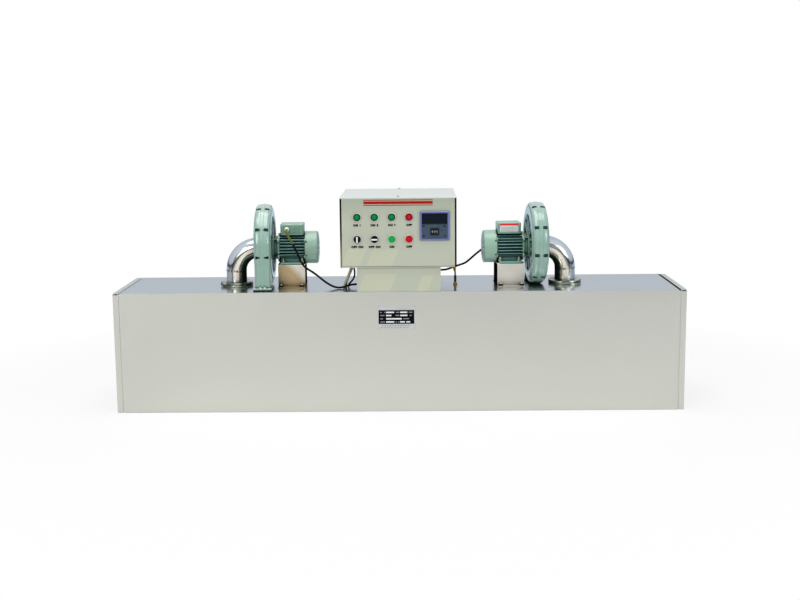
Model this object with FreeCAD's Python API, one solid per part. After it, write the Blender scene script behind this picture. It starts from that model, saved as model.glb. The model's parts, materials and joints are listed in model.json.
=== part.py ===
import FreeCAD, Part
import math
import os

# Hot air drying tunnel: a long stainless steel tank that prints pass through, with a recirculating
# blower at each end of its top and a control cabinet on a pedestal between them.
# Millimetres. X runs along the tank, +Y to the rear, +Z up. The origin is the centre of the tank's base.

V = FreeCAD.Vector

# ---- Tank -------------------------------------------------------------------------------------
TANK_LENGTH = 1920.0
TANK_DEPTH = 380.0
TANK_HEIGHT = 410.0
SHEET = 2.0
FOLD = 15.0
END_FRAME_WIDTH = 19.0
SEAM_GAP = 3.0
CORNER_RELIEF = 5.0
SPIGOT_LENGTH = 18.0
SHEET_CLEARANCE = 0.3

# ---- Passage that the prints take from end to end ----------------------------------------------
PASSAGE_WIDTH = 300.0
PASSAGE_BOTTOM = 40.0
PASSAGE_HEIGHT = 70.0

# ---- Warm air plenum under the tank's top ------------------------------------------------------
PLENUM_LENGTH = 1040.0
PLENUM_WIDTH = 320.0
PLENUM_BOTTOM = 170.0
SLOT_PITCH = 80.0
SLOT_WIDTH = 6.0
SLOT_MARGIN = 30.0

# ---- Heater: bent sheathed elements hanging from a plate under the pedestal ---------------------
HEATER_COUNT = 4
HEATER_PITCH = 30.0
HEATER_SPAN = 190.0
HEATER_DEPTH = 120.0
HEATER_DIAMETER = 8.0
HEATER_BEND = 20.0
HEATER_PLATE = 3.0
HEATER_RIM = 18.0
HEATER_TERMINAL = 16.0
HEATER_Y = -18.0

# ---- Blowers -----------------------------------------------------------------------------------
LEFT_BLOWER_X = -464.0
RIGHT_BLOWER_X = 472.5
LEFT_TURN = 1.5
RIGHT_TURN = 3.0
BLOWER_Y = -10.0
SHAFT_RISE = 131.0
CASING_RADIUS = 139.5
CASING_WIDTH = 54.0
CASING_LIFT = 10.0
CASING_EDGE = 14.0
CAVITY_RADIUS = 128.5
CAVITY_WIDTH = 34.0
LIP_WIDTH = 12.0
LIP_RISE = 1.2
RING_OUTER = 120.0
RING_INNER = 98.0
RING_RISE = 2.0
INLET_DISH = 3.0
MOTOR_DISH = 6.0
RIB_COUNT = 12
RIB_WIDTH = 5.0
HUB_RADIUS = 46.0
DUCT_DEPTH = 70.0
DUCT_WALL = 9.0
FOOT_OVERHANG = 9.0
FOOT_SIDE = 3.5
FOOT_THICKNESS = 6.0
GASKET = 3.0
GASKET_EDGE = 1.0
POCKET_COUNT = 4
POCKET_FIRST = 23.0
POCKET_PITCH = 39.5
POCKET_RADIUS = 6.0
POCKET_LENGTH = 15.0
CASING_SCREW = 4.0
CASING_HEAD = 3.5
HEAD_THICKNESS = 4.0
SCREW_CLEARANCE = 0.1

# ---- Blade wheel -------------------------------------------------------------------------------
WHEEL_RADIUS = 112.0
WHEEL_WIDTH = 26.0
WHEEL_SHEET = 2.0
WHEEL_EYE = 58.0
WHEEL_HUB = 16.0
BLADE_COUNT = 10
BLADE_INNER = 50.0
BLADE_RADIUS = 75.0

# ---- Intake elbow and its pipe flanges ---------------------------------------------------------
LEG_OFFSET = 102.0
PIPE_DIAMETER = 70.0
PIPE_WALL = 2.0
WELD_RISE = 0.7
WELD_WIDTH = 2.4
COLLAR_LENGTH = 5.0
FLANGE_DIAMETER = 113.0
FLANGE_THICKNESS = 6.5
FLANGE_GASKET = 1.2
FLANGE_BEVEL = 4.0

# ---- Motor --------------------------------------------------------------------------------------
MOTOR_HEIGHT = 53.0
SHAFT_DIAMETER = 14.0
RUNNING_CLEARANCE = 0.05
FRONT_SHIELD_LENGTH = 25.0
NECK_RADIUS = 39.0
SHIELD_RADIUS = 50.0
SHIELD_RIM = 6.0
GUSSET_COUNT = 4
GUSSET_THICKNESS = 5.0
HOUSING_LENGTH = 85.0
BARREL_RADIUS = 43.0
BARREL_BORE = 36.0
FIN_RADIUS = 52.0
FIN_THICKNESS = 2.6
FIN_FIRST = 42.0
FIN_STEP = 12.0
FIN_COUNT = 7
WINDING_BORE = 27.0
WINDING_INSET = 9.0
WINDING_LENGTH = 62.0
CORE_LENGTH = 50.0
AIR_GAP = 0.5
BEARING_FRONT_DIAMETER = 35.0
BEARING_FRONT_WIDTH = 11.0
BEARING_REAR_DIAMETER = 30.0
BEARING_REAR_WIDTH = 9.0
BOSS_WALL = 5.0
TIE_ANGLE = 31.0
TIE_CIRCLE = 54.0
TIE_DIAMETER = 5.0
LUG_RADIUS = 6.5
FEET_SPAN = 90.0
FEET_INSET = 12.3
FEET_PITCH = 64.7
FOOT_PAD = 6.0
FOOT_PAD_WIDTH = 24.0
FOOT_BOLT = 6.0
STUD_RISE = 14.0
COWL_GAP = 3.5
COWL_LENGTH = 44.0
COWL_DOME = 3.0
COWL_RADIUS = 56.0
COWL_WALL = 1.5
COWL_EDGE = 6.0
GRILLE_SLOTS = 12
GRILLE_INNER = 16.0
GRILLE_OUTER = 46.0
GRILLE_WIDTH = 4.0
FAN_GAP = 10.0
FAN_RADIUS = 47.0
FAN_BLADES = 6
FAN_WIDTH = 18.0
FAN_HUB = 13.0

# ---- Motor terminal box ------------------------------------------------------------------------
TERMINAL_START = 4.0
TERMINAL_LENGTH = 80.0
TERMINAL_WIDTH = 78.0
TERMINAL_BOTTOM = 47.0
TERMINAL_HEIGHT = 31.0
TERMINAL_FLANGE = 1.5
TERMINAL_FLANGE_HEIGHT = 5.0
SEAT_WIDTH = 36.0
TERMINAL_WALL = 3.0
TERMINAL_CORNER = 7.0
LID_THICKNESS = 6.0
LID_EDGE = 3.0
TERMINAL_RIBS = 3
TERMINAL_RIB_START = 22.0
TERMINAL_RIB_PITCH = 9.0
TERMINAL_RIB_WIDTH = 2.5
TERMINAL_RIB_RISE = 1.0
GLAND_X = 79.0
GLAND_Z = 66.0
GLAND_LENGTH = 16.0
GLAND_RADIUS = 8.5

# ---- Motor bracket -----------------------------------------------------------------------------
BRACKET_START = 47.0
BRACKET_LENGTH = 92.0
BRACKET_WIDTH = 112.0
BRACKET_SHEET = 3.0
BRACKET_FOOT = 29.0
BRACKET_BEND = 5.0
BRACKET_BOLT_PITCH = 72.0
BRACKET_BOLT_OUT = 14.0

# ---- Pedestal and control cabinet --------------------------------------------------------------
PEDESTAL_WIDTH = 280.0
PEDESTAL_FRONT = -188.0
PEDESTAL_DEPTH = 340.0
PEDESTAL_HEIGHT = 83.0
CABINET_WIDTH = 386.0
CABINET_FRONT = -198.0
CABINET_DEPTH = 385.0
CABINET_HEIGHT = 234.0
HOOD_ROLL = 4.5
SEAL_WIDTH = 6.0
SEAL_DEPTH = 8.0

# ---- Devices on the cabinet's front ------------------------------------------------------------
DEVICE_PITCH = 57.4
DEVICE_FIRST = -136.2
LAMP_ROW = 661.0
SWITCH_ROW = 588.0
BEZEL_RADIUS = 15.0
BEZEL_BORE = 12.3
BEZEL_PROUD = 5.0
BARREL_OUTER = 11.0
BARREL_LENGTH = 45.0
DEVICE_HOLE = 11.2
LENS_DOME = 4.0
LENS_EDGE = 1.5
LENS_TERRACE_IN = 4.5
LENS_TERRACE = 2.0
LENS_SHOULDER_IN = 5.0
LENS_CROWN_IN = 8.5
KNOB_RADIUS = 12.0
KNOB_DISC = 8.0
HANDLE_WIDTH = 6.5
HANDLE_RISE = 9.0
STEM_RADIUS = 4.0
STEM_LENGTH = 24.0
BUTTON_TRAVEL = 4.0
BUTTON_THICKNESS = 5.0

# ---- Temperature controller --------------------------------------------------------------------
CONTROLLER_X = 120.5
CONTROLLER_Z = 631.3
CONTROLLER_SIZE = 96.0
CONTROLLER_BODY = 90.0
CONTROLLER_CUTOUT = 92.0
CONTROLLER_DEPTH = 80.0
CONTROLLER_PROUD = 8.0
CONTROLLER_BORDER = 5.0
CONTROLLER_RECESS = 3.0
WINDOW_SHARE_LOW = 0.56
WINDOW_SHARE_HIGH = 0.92
WHEEL_BLOCK_WIDTH = 28.0
WHEEL_BLOCK_HEIGHT = 23.0
WHEEL_BLOCK_Z = 0.30
DIGIT_RADIUS = 10.0
DIGIT_FLATS = 10
DIGIT_WIDTH = 6.6
DIGIT_PITCH = 7.4
DIGIT_AXLE = 1.5
DIGIT_PROUD = 1.5

# ---- Switchgear inside the cabinet -------------------------------------------------------------
RAIL_LENGTH = 300.0
RAIL_HEIGHT = 35.0
RAIL_DEPTH = 7.5
RAIL_Z = 620.0
GEAR_WIDTHS = (45.0, 45.0, 54.0, 80.0)
GEAR_HEIGHT = 75.0
GEAR_DEPTH = 70.0
GEAR_SPACE = 12.0

# ---- Rating plate and small screws -------------------------------------------------------------
PLATE_X = -8.0
PLATE_DROP = 85.8
PLATE_WIDTH = 130.0
PLATE_HEIGHT = 83.5
PLATE_THICKNESS = 1.0
PLATE_SCREW_INSET = 5.0
SCREW_HEAD_RADIUS = 2.5
SCREW_HEAD_RISE = 1.5
HOOD_SCREW_RADIUS = 4.0
HOOD_SCREW_INSET = 14.0

# ---- Leads -------------------------------------------------------------------------------------
MOTOR_LEAD = 7.0
SLEEVE_LEAD = 9.0
HEATER_LEAD = 6.0
PROBE_LEAD = 5.5
PROBE_X = 193.0
PROBE_Y = -40.0
PROBE_HEIGHT = 26.0
PROBE_NUT_HEIGHT = 8.0
PROBE_RADIUS = 4.5
PROBE_FOOT = 3.0
PROBE_STEM = 5.0
PROBE_NUT = 14.0
PROBE_LENGTH = 60.0
INLET_X = -120.0
INLET_Z = 540.0
INLET_BORE = 6.0
INLET_LENGTH = 22.0
INLET_COLLAR = 5.0
INLET_NUT = 6.0

# ---- Places worked out from the sizes above ----------------------------------------------------
HALF_LENGTH = TANK_LENGTH / 2
HALF_DEPTH = TANK_DEPTH / 2
PANEL_END = HALF_LENGTH - END_FRAME_WIDTH - SEAM_GAP
FRAME_START = HALF_LENGTH - END_FRAME_WIDTH
SHAFT_HEIGHT = TANK_HEIGHT + SHAFT_RISE
HALF_CASING = CASING_WIDTH / 2
HALF_CAVITY = CAVITY_WIDTH / 2
INLET_FACE = HALF_CASING - INLET_DISH
MOTOR_FACE = HALF_CASING
DUCT_FRONT = -CASING_RADIUS
DUCT_BACK = -CASING_RADIUS + DUCT_DEPTH
FOOT_BOTTOM = -SHAFT_RISE + GASKET
BEND_RADIUS = LEG_OFFSET - INLET_FACE
PIPE_RADIUS = PIPE_DIAMETER / 2
SHAFT_RADIUS = SHAFT_DIAMETER / 2
HOUSING_START = MOTOR_FACE + FRONT_SHIELD_LENGTH
HOUSING_END = HOUSING_START + HOUSING_LENGTH
COWL_START = HOUSING_END + COWL_GAP
COWL_END = COWL_START + COWL_LENGTH
FAN_START = COWL_START + FAN_GAP
SHAFT_END = FAN_START + FAN_WIDTH
WINDING_START = HOUSING_START + WINDING_INSET
TERMINAL_X = HOUSING_START + TERMINAL_START
TERMINAL_TOP = TERMINAL_BOTTOM + TERMINAL_HEIGHT
FEET_X = HOUSING_START + FEET_INSET
PEDESTAL_TOP = TANK_HEIGHT + PEDESTAL_HEIGHT
CABINET_TOP = PEDESTAL_TOP + CABINET_HEIGHT
CABINET_BACK = CABINET_FRONT + CABINET_DEPTH
HALF_CABINET = CABINET_WIDTH / 2
FASCIA_TOP = CABINET_TOP - HOOD_ROLL
FASCIA_HALF = HALF_CABINET - SEAL_WIDTH
PLATE_Z = TANK_HEIGHT - PLATE_DROP


# ---- Small tools for building shapes -----------------------------------------------------------
def box(x, y, z):
    """Box between a low and a high value on each axis."""
    return Part.makeBox(x[1] - x[0], y[1] - y[0], z[1] - z[0], V(x[0], y[0], z[0]))


def bar(axis, start, length, radius, sides=0):
    """Round bar from start along axis, or a prism with that many sides and that inscribed radius."""
    if not sides:
        return Part.makeCylinder(radius, length, start, axis)
    corner_radius = radius / math.cos(math.pi / sides)
    turns = [2 * math.pi * (i + 0.5) / sides for i in range(sides + 1)]
    corners = [V(corner_radius * math.cos(t), corner_radius * math.sin(t), 0) for t in turns]
    prism = Part.Face(Part.makePolygon(corners)).extrude(V(0, 0, length))
    prism.Placement = FreeCAD.Placement(start, FreeCAD.Rotation(V(0, 0, 1), axis))
    return prism


def along_x(x0, x1, radius, y=0.0, z=0.0, sides=0):
    return bar(V(1, 0, 0), V(x0, y, z), x1 - x0, radius, sides)


def along_y(y0, y1, radius, x=0.0, z=0.0, sides=0):
    return bar(V(0, 1, 0), V(x, y0, z), y1 - y0, radius, sides)


def along_z(z0, z1, radius, x=0.0, y=0.0, sides=0):
    return bar(V(0, 0, 1), V(x, y, z0), z1 - z0, radius, sides)


def closed_face(points):
    return Part.Face(Part.makePolygon(points + [points[0]]))


def turned_x(outline):
    """Solid turned about the X axis from (x, radius) points."""
    return closed_face([V(x, 0, r) for x, r in outline]).revolve(V(0, 0, 0), V(1, 0, 0), 360)


def turned_z(outline, x=0.0, y=0.0):
    """Solid turned about a vertical axis from (radius, z) points."""
    solid = closed_face([V(r, 0, z) for r, z in outline]).revolve(V(0, 0, 0), V(0, 0, 1), 360)
    solid.translate(V(x, y, 0))
    return solid


def joined(shapes):
    solid = shapes[0].fuse(shapes[1:]) if len(shapes) > 1 else shapes[0]
    return solid.removeSplitter()


def moved(shape, x=0.0, y=0.0, z=0.0):
    copy = shape.copy()
    copy.translate(V(x, y, z))
    return copy


def spun_x(shape, degrees):
    copy = shape.copy()
    copy.rotate(V(0, 0, 0), V(1, 0, 0), degrees)
    return copy


def rounded(shape, radius, wanted):
    """Round the straight edges whose middle and direction the test accepts."""
    edges = [e for e in shape.Edges if e.Curve.TypeId == "Part::GeomLine"
             and wanted(e.CenterOfMass, e.tangentAt(e.FirstParameter))]
    return shape.makeFillet(radius, edges)


def unit_place(side):
    """Where a blower stands, as set out by hand: a little off square, the right one turned round."""
    x = LEFT_BLOWER_X if side < 0 else RIGHT_BLOWER_X
    turn = LEFT_TURN if side < 0 else 180 + RIGHT_TURN
    return FreeCAD.Placement(V(x, BLOWER_Y, SHAFT_HEIGHT), FreeCAD.Rotation(V(0, 0, 1), turn))


def on_unit(shape, side):
    """Place a blower piece, modelled about its shaft, on the left (-1) or the right (+1)."""
    copy = shape.copy()
    copy.Placement = unit_place(side).multiply(copy.Placement)
    return copy


def both_units(shapes):
    return [on_unit(shape, side) for side in (-1, 1) for shape in shapes]


def save(name, shapes):
    shapes = shapes if isinstance(shapes, list) else [shapes]
    solids = [solid for shape in shapes for solid in shape.Solids]
    result = solids[0] if len(solids) == 1 else Part.makeCompound(solids)
    result.exportStep("parts/" + name + ".step")


# ---- Tank --------------------------------------------------------------------------------------
def upright_panel(side):
    """Front or rear skin with a fold along its top that carries the top panel."""
    outer = side * HALF_DEPTH
    inner = side * (HALF_DEPTH - SHEET)
    fold = side * (HALF_DEPTH - SHEET - FOLD)
    length = (-PANEL_END, PANEL_END)
    skin = box(length, sorted((outer, inner)), (SHEET, TANK_HEIGHT - SHEET))
    shelf = box(length, sorted((outer, fold)), (TANK_HEIGHT - 2 * SHEET, TANK_HEIGHT - SHEET))
    return joined([skin, shelf])


def duct_opening(z):
    """Air passage of a blower's discharge, between two heights in the blower's own frame."""
    return box((-HALF_CAVITY, HALF_CAVITY), (DUCT_FRONT + DUCT_WALL, DUCT_BACK - DUCT_WALL), z)


def top_panel():
    panel = box((-PANEL_END, PANEL_END), (-HALF_DEPTH, HALF_DEPTH), (TANK_HEIGHT - SHEET, TANK_HEIGHT))
    through = (-SHAFT_RISE - 2 * SHEET, -SHAFT_RISE + SHEET)
    pipe_hole = along_z(through[0], through[1], PIPE_RADIUS - PIPE_WALL, -LEG_OFFSET)
    holes = both_units([duct_opening(through), pipe_hole])
    holes.append(heater_opening(TANK_HEIGHT - 2 * SHEET, TANK_HEIGHT + SHEET))
    holes.append(along_z(TANK_HEIGHT - 2 * SHEET, TANK_HEIGHT + SHEET, PROBE_STEM / 2 + SHEET_CLEARANCE,
                         PROBE_X, PROBE_Y))
    return panel.cut(holes)


def base_pan():
    """Floor sheet with turned-up edges that stand inside the front and rear skins."""
    floor = box((-PANEL_END, PANEL_END), (-HALF_DEPTH, HALF_DEPTH), (0, SHEET))
    lips = []
    reach = FRAME_START - SPIGOT_LENGTH - SHEET
    for side in (-1, 1):
        y = sorted((side * (HALF_DEPTH - SHEET), side * (HALF_DEPTH - 2 * SHEET)))
        lips.append(box((-reach, reach), y, (0, FOLD + SHEET)))
    return joined([floor] + lips)


def passage(x):
    half = PASSAGE_WIDTH / 2
    return box(x, (-half, half), (PASSAGE_BOTTOM, PASSAGE_BOTTOM + PASSAGE_HEIGHT))


def end_frame(side):
    """Folded end cap with relieved top corners, the print slot and a spigot inside the panels."""
    inset = SHEET + SHEET_CLEARANCE
    top_inset = 2 * SHEET + SHEET_CLEARANCE
    tip = FRAME_START - SPIGOT_LENGTH
    full = box((FRAME_START, HALF_LENGTH), (-HALF_DEPTH, HALF_DEPTH), (0, TANK_HEIGHT))
    spigot = box((tip, FRAME_START), (-HALF_DEPTH + inset, HALF_DEPTH - inset),
                 (inset, TANK_HEIGHT - top_inset))
    wall = inset + SHEET
    inside = box((tip - SHEET, FRAME_START + SHEET), (-HALF_DEPTH + wall, HALF_DEPTH - wall),
                 (wall, TANK_HEIGHT - top_inset - SHEET))
    rim_inside = box((FRAME_START + SHEET, HALF_LENGTH - SHEET), (-HALF_DEPTH + SHEET, HALF_DEPTH - SHEET),
                     (SHEET, TANK_HEIGHT - SHEET))
    cuts = [inside, rim_inside, passage((FRAME_START, HALF_LENGTH + SHEET))]
    for edge in (-1, 1):
        y = sorted((edge * HALF_DEPTH, edge * (HALF_DEPTH - SHEET)))
        cuts.append(box((FRAME_START, HALF_LENGTH), y, (TANK_HEIGHT - CORNER_RELIEF, TANK_HEIGHT)))
    cap = joined([full, spigot]).cut(cuts)
    return cap if side > 0 else cap.mirror(V(0, 0, 0), V(1, 0, 0))


def plenum_box():
    """Open-bottomed duct hung under the top panel, with a fold that carries the nozzle plate."""
    x, y = PLENUM_LENGTH / 2, PLENUM_WIDTH / 2
    z = (PLENUM_BOTTOM, TANK_HEIGHT - SHEET)
    walls = box((-x, x), (-y, y), z)
    hollow = box((-x + SHEET, x - SHEET), (-y + SHEET, y - SHEET), (PLENUM_BOTTOM + SHEET, z[1]))
    mouth = box((-x + FOLD, x - FOLD), (-y + FOLD, y - FOLD), (PLENUM_BOTTOM, PLENUM_BOTTOM + SHEET))
    return walls.cut([hollow, mouth])


def nozzle_plate():
    """Plate with cross slots that blow warm air down on the prints."""
    x = PLENUM_LENGTH / 2 - SHEET - SHEET_CLEARANCE
    y = PLENUM_WIDTH / 2 - SHEET - SHEET_CLEARANCE
    z = (PLENUM_BOTTOM + SHEET, PLENUM_BOTTOM + 2 * SHEET)
    plate = box((-x, x), (-y, y), z)
    count = int((2 * x - 2 * SLOT_MARGIN) // SLOT_PITCH) + 1
    first = -(count - 1) * SLOT_PITCH / 2
    reach = y - SLOT_MARGIN
    slots = []
    for i in range(count):
        middle = first + i * SLOT_PITCH
        slots.append(box((middle - SLOT_WIDTH / 2, middle + SLOT_WIDTH / 2), (-reach, reach), z))
    return plate.cut(slots)


# ---- Heater ------------------------------------------------------------------------------------
def heater_opening(z0, z1):
    x = HEATER_SPAN / 2 + HEATER_RIM / 2
    y = (HEATER_COUNT - 1) * HEATER_PITCH / 2 + HEATER_RIM / 2
    return box((-x, x), (HEATER_Y - y, HEATER_Y + y), (z0, z1))


def heater_element(y):
    """One bent element: down from the plate, along the plenum and back up."""
    half = HEATER_SPAN / 2
    top = TANK_HEIGHT + HEATER_PLATE + HEATER_TERMINAL
    bottom = TANK_HEIGHT - HEATER_DEPTH
    bend = HEATER_BEND
    dip = bend * (1 - math.sqrt(0.5))
    left_arc = Part.Arc(V(-half, y, bottom + bend), V(-half + dip, y, bottom + dip),
                        V(-half + bend, y, bottom))
    right_arc = Part.Arc(V(half - bend, y, bottom), V(half - dip, y, bottom + dip),
                         V(half, y, bottom + bend))
    path = Part.Wire([
        Part.LineSegment(V(-half, y, top), V(-half, y, bottom + bend)).toShape(),
        left_arc.toShape(),
        Part.LineSegment(V(-half + bend, y, bottom), V(half - bend, y, bottom)).toShape(),
        right_arc.toShape(),
        Part.LineSegment(V(half, y, bottom + bend), V(half, y, top)).toShape(),
    ])
    return tube_along(path, V(-half, y, top), V(0, 0, -1), HEATER_DIAMETER / 2)


def heater_elements():
    x = HEATER_SPAN / 2 + HEATER_RIM
    y = (HEATER_COUNT - 1) * HEATER_PITCH / 2 + HEATER_RIM
    plate = box((-x, x), (HEATER_Y - y, HEATER_Y + y), (TANK_HEIGHT, TANK_HEIGHT + HEATER_PLATE))
    first = HEATER_Y - (HEATER_COUNT - 1) * HEATER_PITCH / 2
    elements = [heater_element(first + i * HEATER_PITCH) for i in range(HEATER_COUNT)]
    return joined([plate] + elements)


# ---- Blower casing -----------------------------------------------------------------------------
def rim_outline(flip):
    """Half section of the casing's rim from the seam outwards, as (x, radius) points."""
    lip = LIP_WIDTH / 2
    bevel = LIP_RISE
    points = [(0, CASING_RADIUS + LIP_RISE), (lip - bevel, CASING_RADIUS + LIP_RISE), (lip, CASING_RADIUS)]
    for step in range(5):
        angle = math.radians(90 - 22.5 * step)
        points.append((HALF_CASING - CASING_EDGE + CASING_EDGE * math.cos(angle),
                       CASING_RADIUS - CASING_EDGE + CASING_EDGE * math.sin(angle)))
    return [(flip * x, r) for x, r in points]


def casing_body(flip, dish):
    """Outer form of one casing half: turned scroll with a raised ring and a dish, and the discharge duct."""
    face = flip * HALF_CASING
    ring = flip * (HALF_CASING + RING_RISE)
    floor = flip * (HALF_CASING - dish)
    outline = [(0, 0)] + rim_outline(flip) + [
        (face, RING_OUTER + RING_RISE), (ring, RING_OUTER),
        (ring, RING_INNER + RING_RISE), (floor, RING_INNER - dish / 2), (floor, 0)]
    disc = moved(turned_x(outline), z=CASING_LIFT)
    section = [V(x, -r, 0) for x, r in rim_outline(flip)]
    section += [V(face, DUCT_BACK, 0), V(0, DUCT_BACK, 0)]
    duct = closed_face(section).extrude(V(0, 0, CASING_LIFT - FOOT_BOTTOM))
    duct.translate(V(0, 0, FOOT_BOTTOM))
    foot_x = sorted((0, flip * (HALF_CASING + FOOT_SIDE)))
    foot_y = (DUCT_FRONT - FOOT_OVERHANG, DUCT_BACK + FOOT_OVERHANG)
    foot = box(foot_x, foot_y, (FOOT_BOTTOM, FOOT_BOTTOM + FOOT_THICKNESS))
    foot = foot.makeChamfer(FOOT_THICKNESS / 3, [
        e for e in foot.Edges
        if abs(e.CenterOfMass.z - FOOT_BOTTOM - FOOT_THICKNESS) < 0.01 and abs(e.CenterOfMass.x) > 0.01])
    return joined([disc, duct, foot])


def casing_hollow():
    """Air space inside the casing: the wheel's chamber and the discharge duct."""
    chamber = along_x(-HALF_CAVITY, HALF_CAVITY, CAVITY_RADIUS, z=CASING_LIFT)
    return joined([chamber, duct_opening((FOOT_BOTTOM, CASING_LIFT))])


def pocket_places():
    """(y, z) of the casing screws around the rim, leaving out those that fall in the duct."""
    places = []
    for i in range(POCKET_COUNT):
        angle = math.radians(POCKET_FIRST + i * POCKET_PITCH)
        radius = CASING_RADIUS - POCKET_RADIUS / 3
        y = radius * math.sin(angle)
        z = radius * math.cos(angle) + CASING_LIFT
        places.append((y, z))
        if math.sin(angle) * radius > DUCT_DEPTH + BLADE_INNER or z > 0:
            places.append((-y, z))
    return places


def rim_pockets(flip):
    """Scoops in the rim with the clearance holes of the screws that clamp the two halves."""
    start = LIP_WIDTH / 2 + LIP_RISE
    cutters = []
    for y, z in pocket_places():
        x = sorted((flip * start, flip * (start + POCKET_LENGTH)))
        cutters.append(along_x(x[0], x[1], POCKET_RADIUS, y, z))
        hole = sorted((0, flip * start))
        cutters.append(along_x(hole[0], hole[1], CASING_SCREW / 2 + SCREW_CLEARANCE, y, z))
    return cutters


def casing_inlet_half():
    body = casing_body(-1, INLET_DISH)
    collar_radius = PIPE_RADIUS - PIPE_WALL - SHEET_CLEARANCE
    collar = along_x(-INLET_FACE - COLLAR_LENGTH, -INLET_FACE, collar_radius)
    bore = along_x(-INLET_FACE - COLLAR_LENGTH, -HALF_CAVITY, collar_radius - PIPE_WALL)
    return joined([body, collar]).cut([casing_hollow(), bore] + rim_pockets(-1))


def casing_motor_half():
    """Motor side: a dished back with radial ribs and the hub that the motor bolts to."""
    body = casing_body(1, MOTOR_DISH)
    hub = along_x(HALF_CAVITY, MOTOR_FACE, HUB_RADIUS)
    ribs = []
    for i in range(RIB_COUNT):
        rib = box((HALF_CASING - MOTOR_DISH, HALF_CASING), (-RIB_WIDTH / 2, RIB_WIDTH / 2),
                  (HUB_RADIUS - RIB_WIDTH, RING_INNER))
        ribs.append(moved(spun_x(rib, (i + 0.5) * 360 / RIB_COUNT), z=CASING_LIFT))
    shaft_hole = along_x(HALF_CAVITY, MOTOR_FACE, SHAFT_RADIUS + 1.0)
    return joined([body, hub] + ribs).cut([casing_hollow(), shaft_hole] + rim_pockets(1))


def casing_screws():
    """Hexagon screws with nuts, one through each pair of rim pockets."""
    start = LIP_WIDTH / 2 + LIP_RISE
    screws = []
    for y, z in pocket_places():
        shank = along_x(-start, start, CASING_SCREW / 2, y, z)
        head = along_x(start, start + HEAD_THICKNESS, CASING_HEAD, y, z, 6)
        nut = along_x(-start - HEAD_THICKNESS, -start, CASING_HEAD, y, z, 6)
        screws.append(joined([shank, head, nut]))
    return screws


def outlet_gasket():
    x = HALF_CASING + FOOT_SIDE + GASKET_EDGE
    y = (DUCT_FRONT - FOOT_OVERHANG - GASKET_EDGE, DUCT_BACK + FOOT_OVERHANG + GASKET_EDGE)
    z = (-SHAFT_RISE, FOOT_BOTTOM)
    return box((-x, x), y, z).cut(duct_opening(z))


# ---- Blade wheel -------------------------------------------------------------------------------
def blade():
    """Backward-curved blade, a thin arc from the eye to the rim."""
    half = WHEEL_WIDTH / 2
    middle = V(0, 0, (BLADE_INNER + WHEEL_RADIUS) / 2)
    chord = (WHEEL_RADIUS - BLADE_INNER) / 2
    centre = middle + V(0, math.sqrt(BLADE_RADIUS ** 2 - chord ** 2), 0)
    outer = along_x(-half, half, BLADE_RADIUS + WHEEL_SHEET / 2, centre.y, centre.z)
    inner = along_x(-half, half, BLADE_RADIUS - WHEEL_SHEET / 2, centre.y, centre.z)
    window = box((-half, half), (-BLADE_RADIUS, 0), (BLADE_INNER, WHEEL_RADIUS - WHEEL_SHEET))
    return outer.cut(inner).common(window)


def impeller():
    half = WHEEL_WIDTH / 2
    back = along_x(half - WHEEL_SHEET, half, WHEEL_RADIUS)
    hub = along_x(-half / 3, half, WHEEL_HUB)
    shroud = along_x(-half, -half + WHEEL_SHEET, WHEEL_RADIUS).cut(
        along_x(-half, -half + WHEEL_SHEET, WHEEL_EYE))
    blades = [spun_x(blade(), i * 360 / BLADE_COUNT) for i in range(BLADE_COUNT)]
    bore = along_x(-half, half, SHAFT_RADIUS + RUNNING_CLEARANCE / 2)
    return joined([back, hub, shroud] + blades).cut(bore)


# ---- Intake elbow ------------------------------------------------------------------------------
def swept_elbow(radius):
    """Vertical leg on the tank and a quarter bend that ends on the casing's inlet side."""
    leg = along_z(-SHAFT_RISE, -BEND_RADIUS, radius, -LEG_OFFSET)
    ring = Part.Face(Part.Wire(Part.makeCircle(radius, V(-LEG_OFFSET, 0, -BEND_RADIUS), V(0, 0, 1))))
    centre = V(-LEG_OFFSET + BEND_RADIUS, 0, -BEND_RADIUS)
    bend = ring.revolve(centre, V(0, 1, 0), 90)
    return joined([leg, bend])


def inlet_elbow():
    weld = along_z(-BEND_RADIUS - WELD_WIDTH / 2, -BEND_RADIUS + WELD_WIDTH / 2, PIPE_RADIUS + WELD_RISE,
                   -LEG_OFFSET)
    return joined([swept_elbow(PIPE_RADIUS), weld]).cut(swept_elbow(PIPE_RADIUS - PIPE_WALL))


def pipe_flanges():
    """Two loose rings around the foot of the elbow, the upper one bevelled."""
    bore = PIPE_RADIUS + SHEET_CLEARANCE
    outer = FLANGE_DIAMETER / 2
    low = -SHAFT_RISE
    middle = low + FLANGE_THICKNESS
    high = middle + FLANGE_GASKET
    top = high + FLANGE_THICKNESS
    lower = turned_z([(bore, low), (outer, low), (outer, middle), (bore, middle)], -LEG_OFFSET)
    upper = turned_z([(bore, high), (outer, high), (outer, top - FLANGE_BEVEL / 2),
                      (outer - FLANGE_BEVEL, top), (bore, top)], -LEG_OFFSET)
    return [lower, upper]


def flange_gasket():
    low = -SHAFT_RISE + FLANGE_THICKNESS
    bore = PIPE_RADIUS + SHEET_CLEARANCE
    outer = FLANGE_DIAMETER / 2 - FLANGE_BEVEL
    return turned_z([(bore, low), (outer, low), (outer, low + FLANGE_GASKET), (bore, low + FLANGE_GASKET)],
                    -LEG_OFFSET)


# ---- Motor -------------------------------------------------------------------------------------
def tie_places():
    y = TIE_CIRCLE * math.cos(math.radians(TIE_ANGLE))
    z = TIE_CIRCLE * math.sin(math.radians(TIE_ANGLE))
    return [(a * y, b * z) for a in (-1, 1) for b in (-1, 1)]


def tie_lugs(x0, x1):
    return [along_x(x0, x1, LUG_RADIUS, y, z) for y, z in tie_places()]


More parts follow.
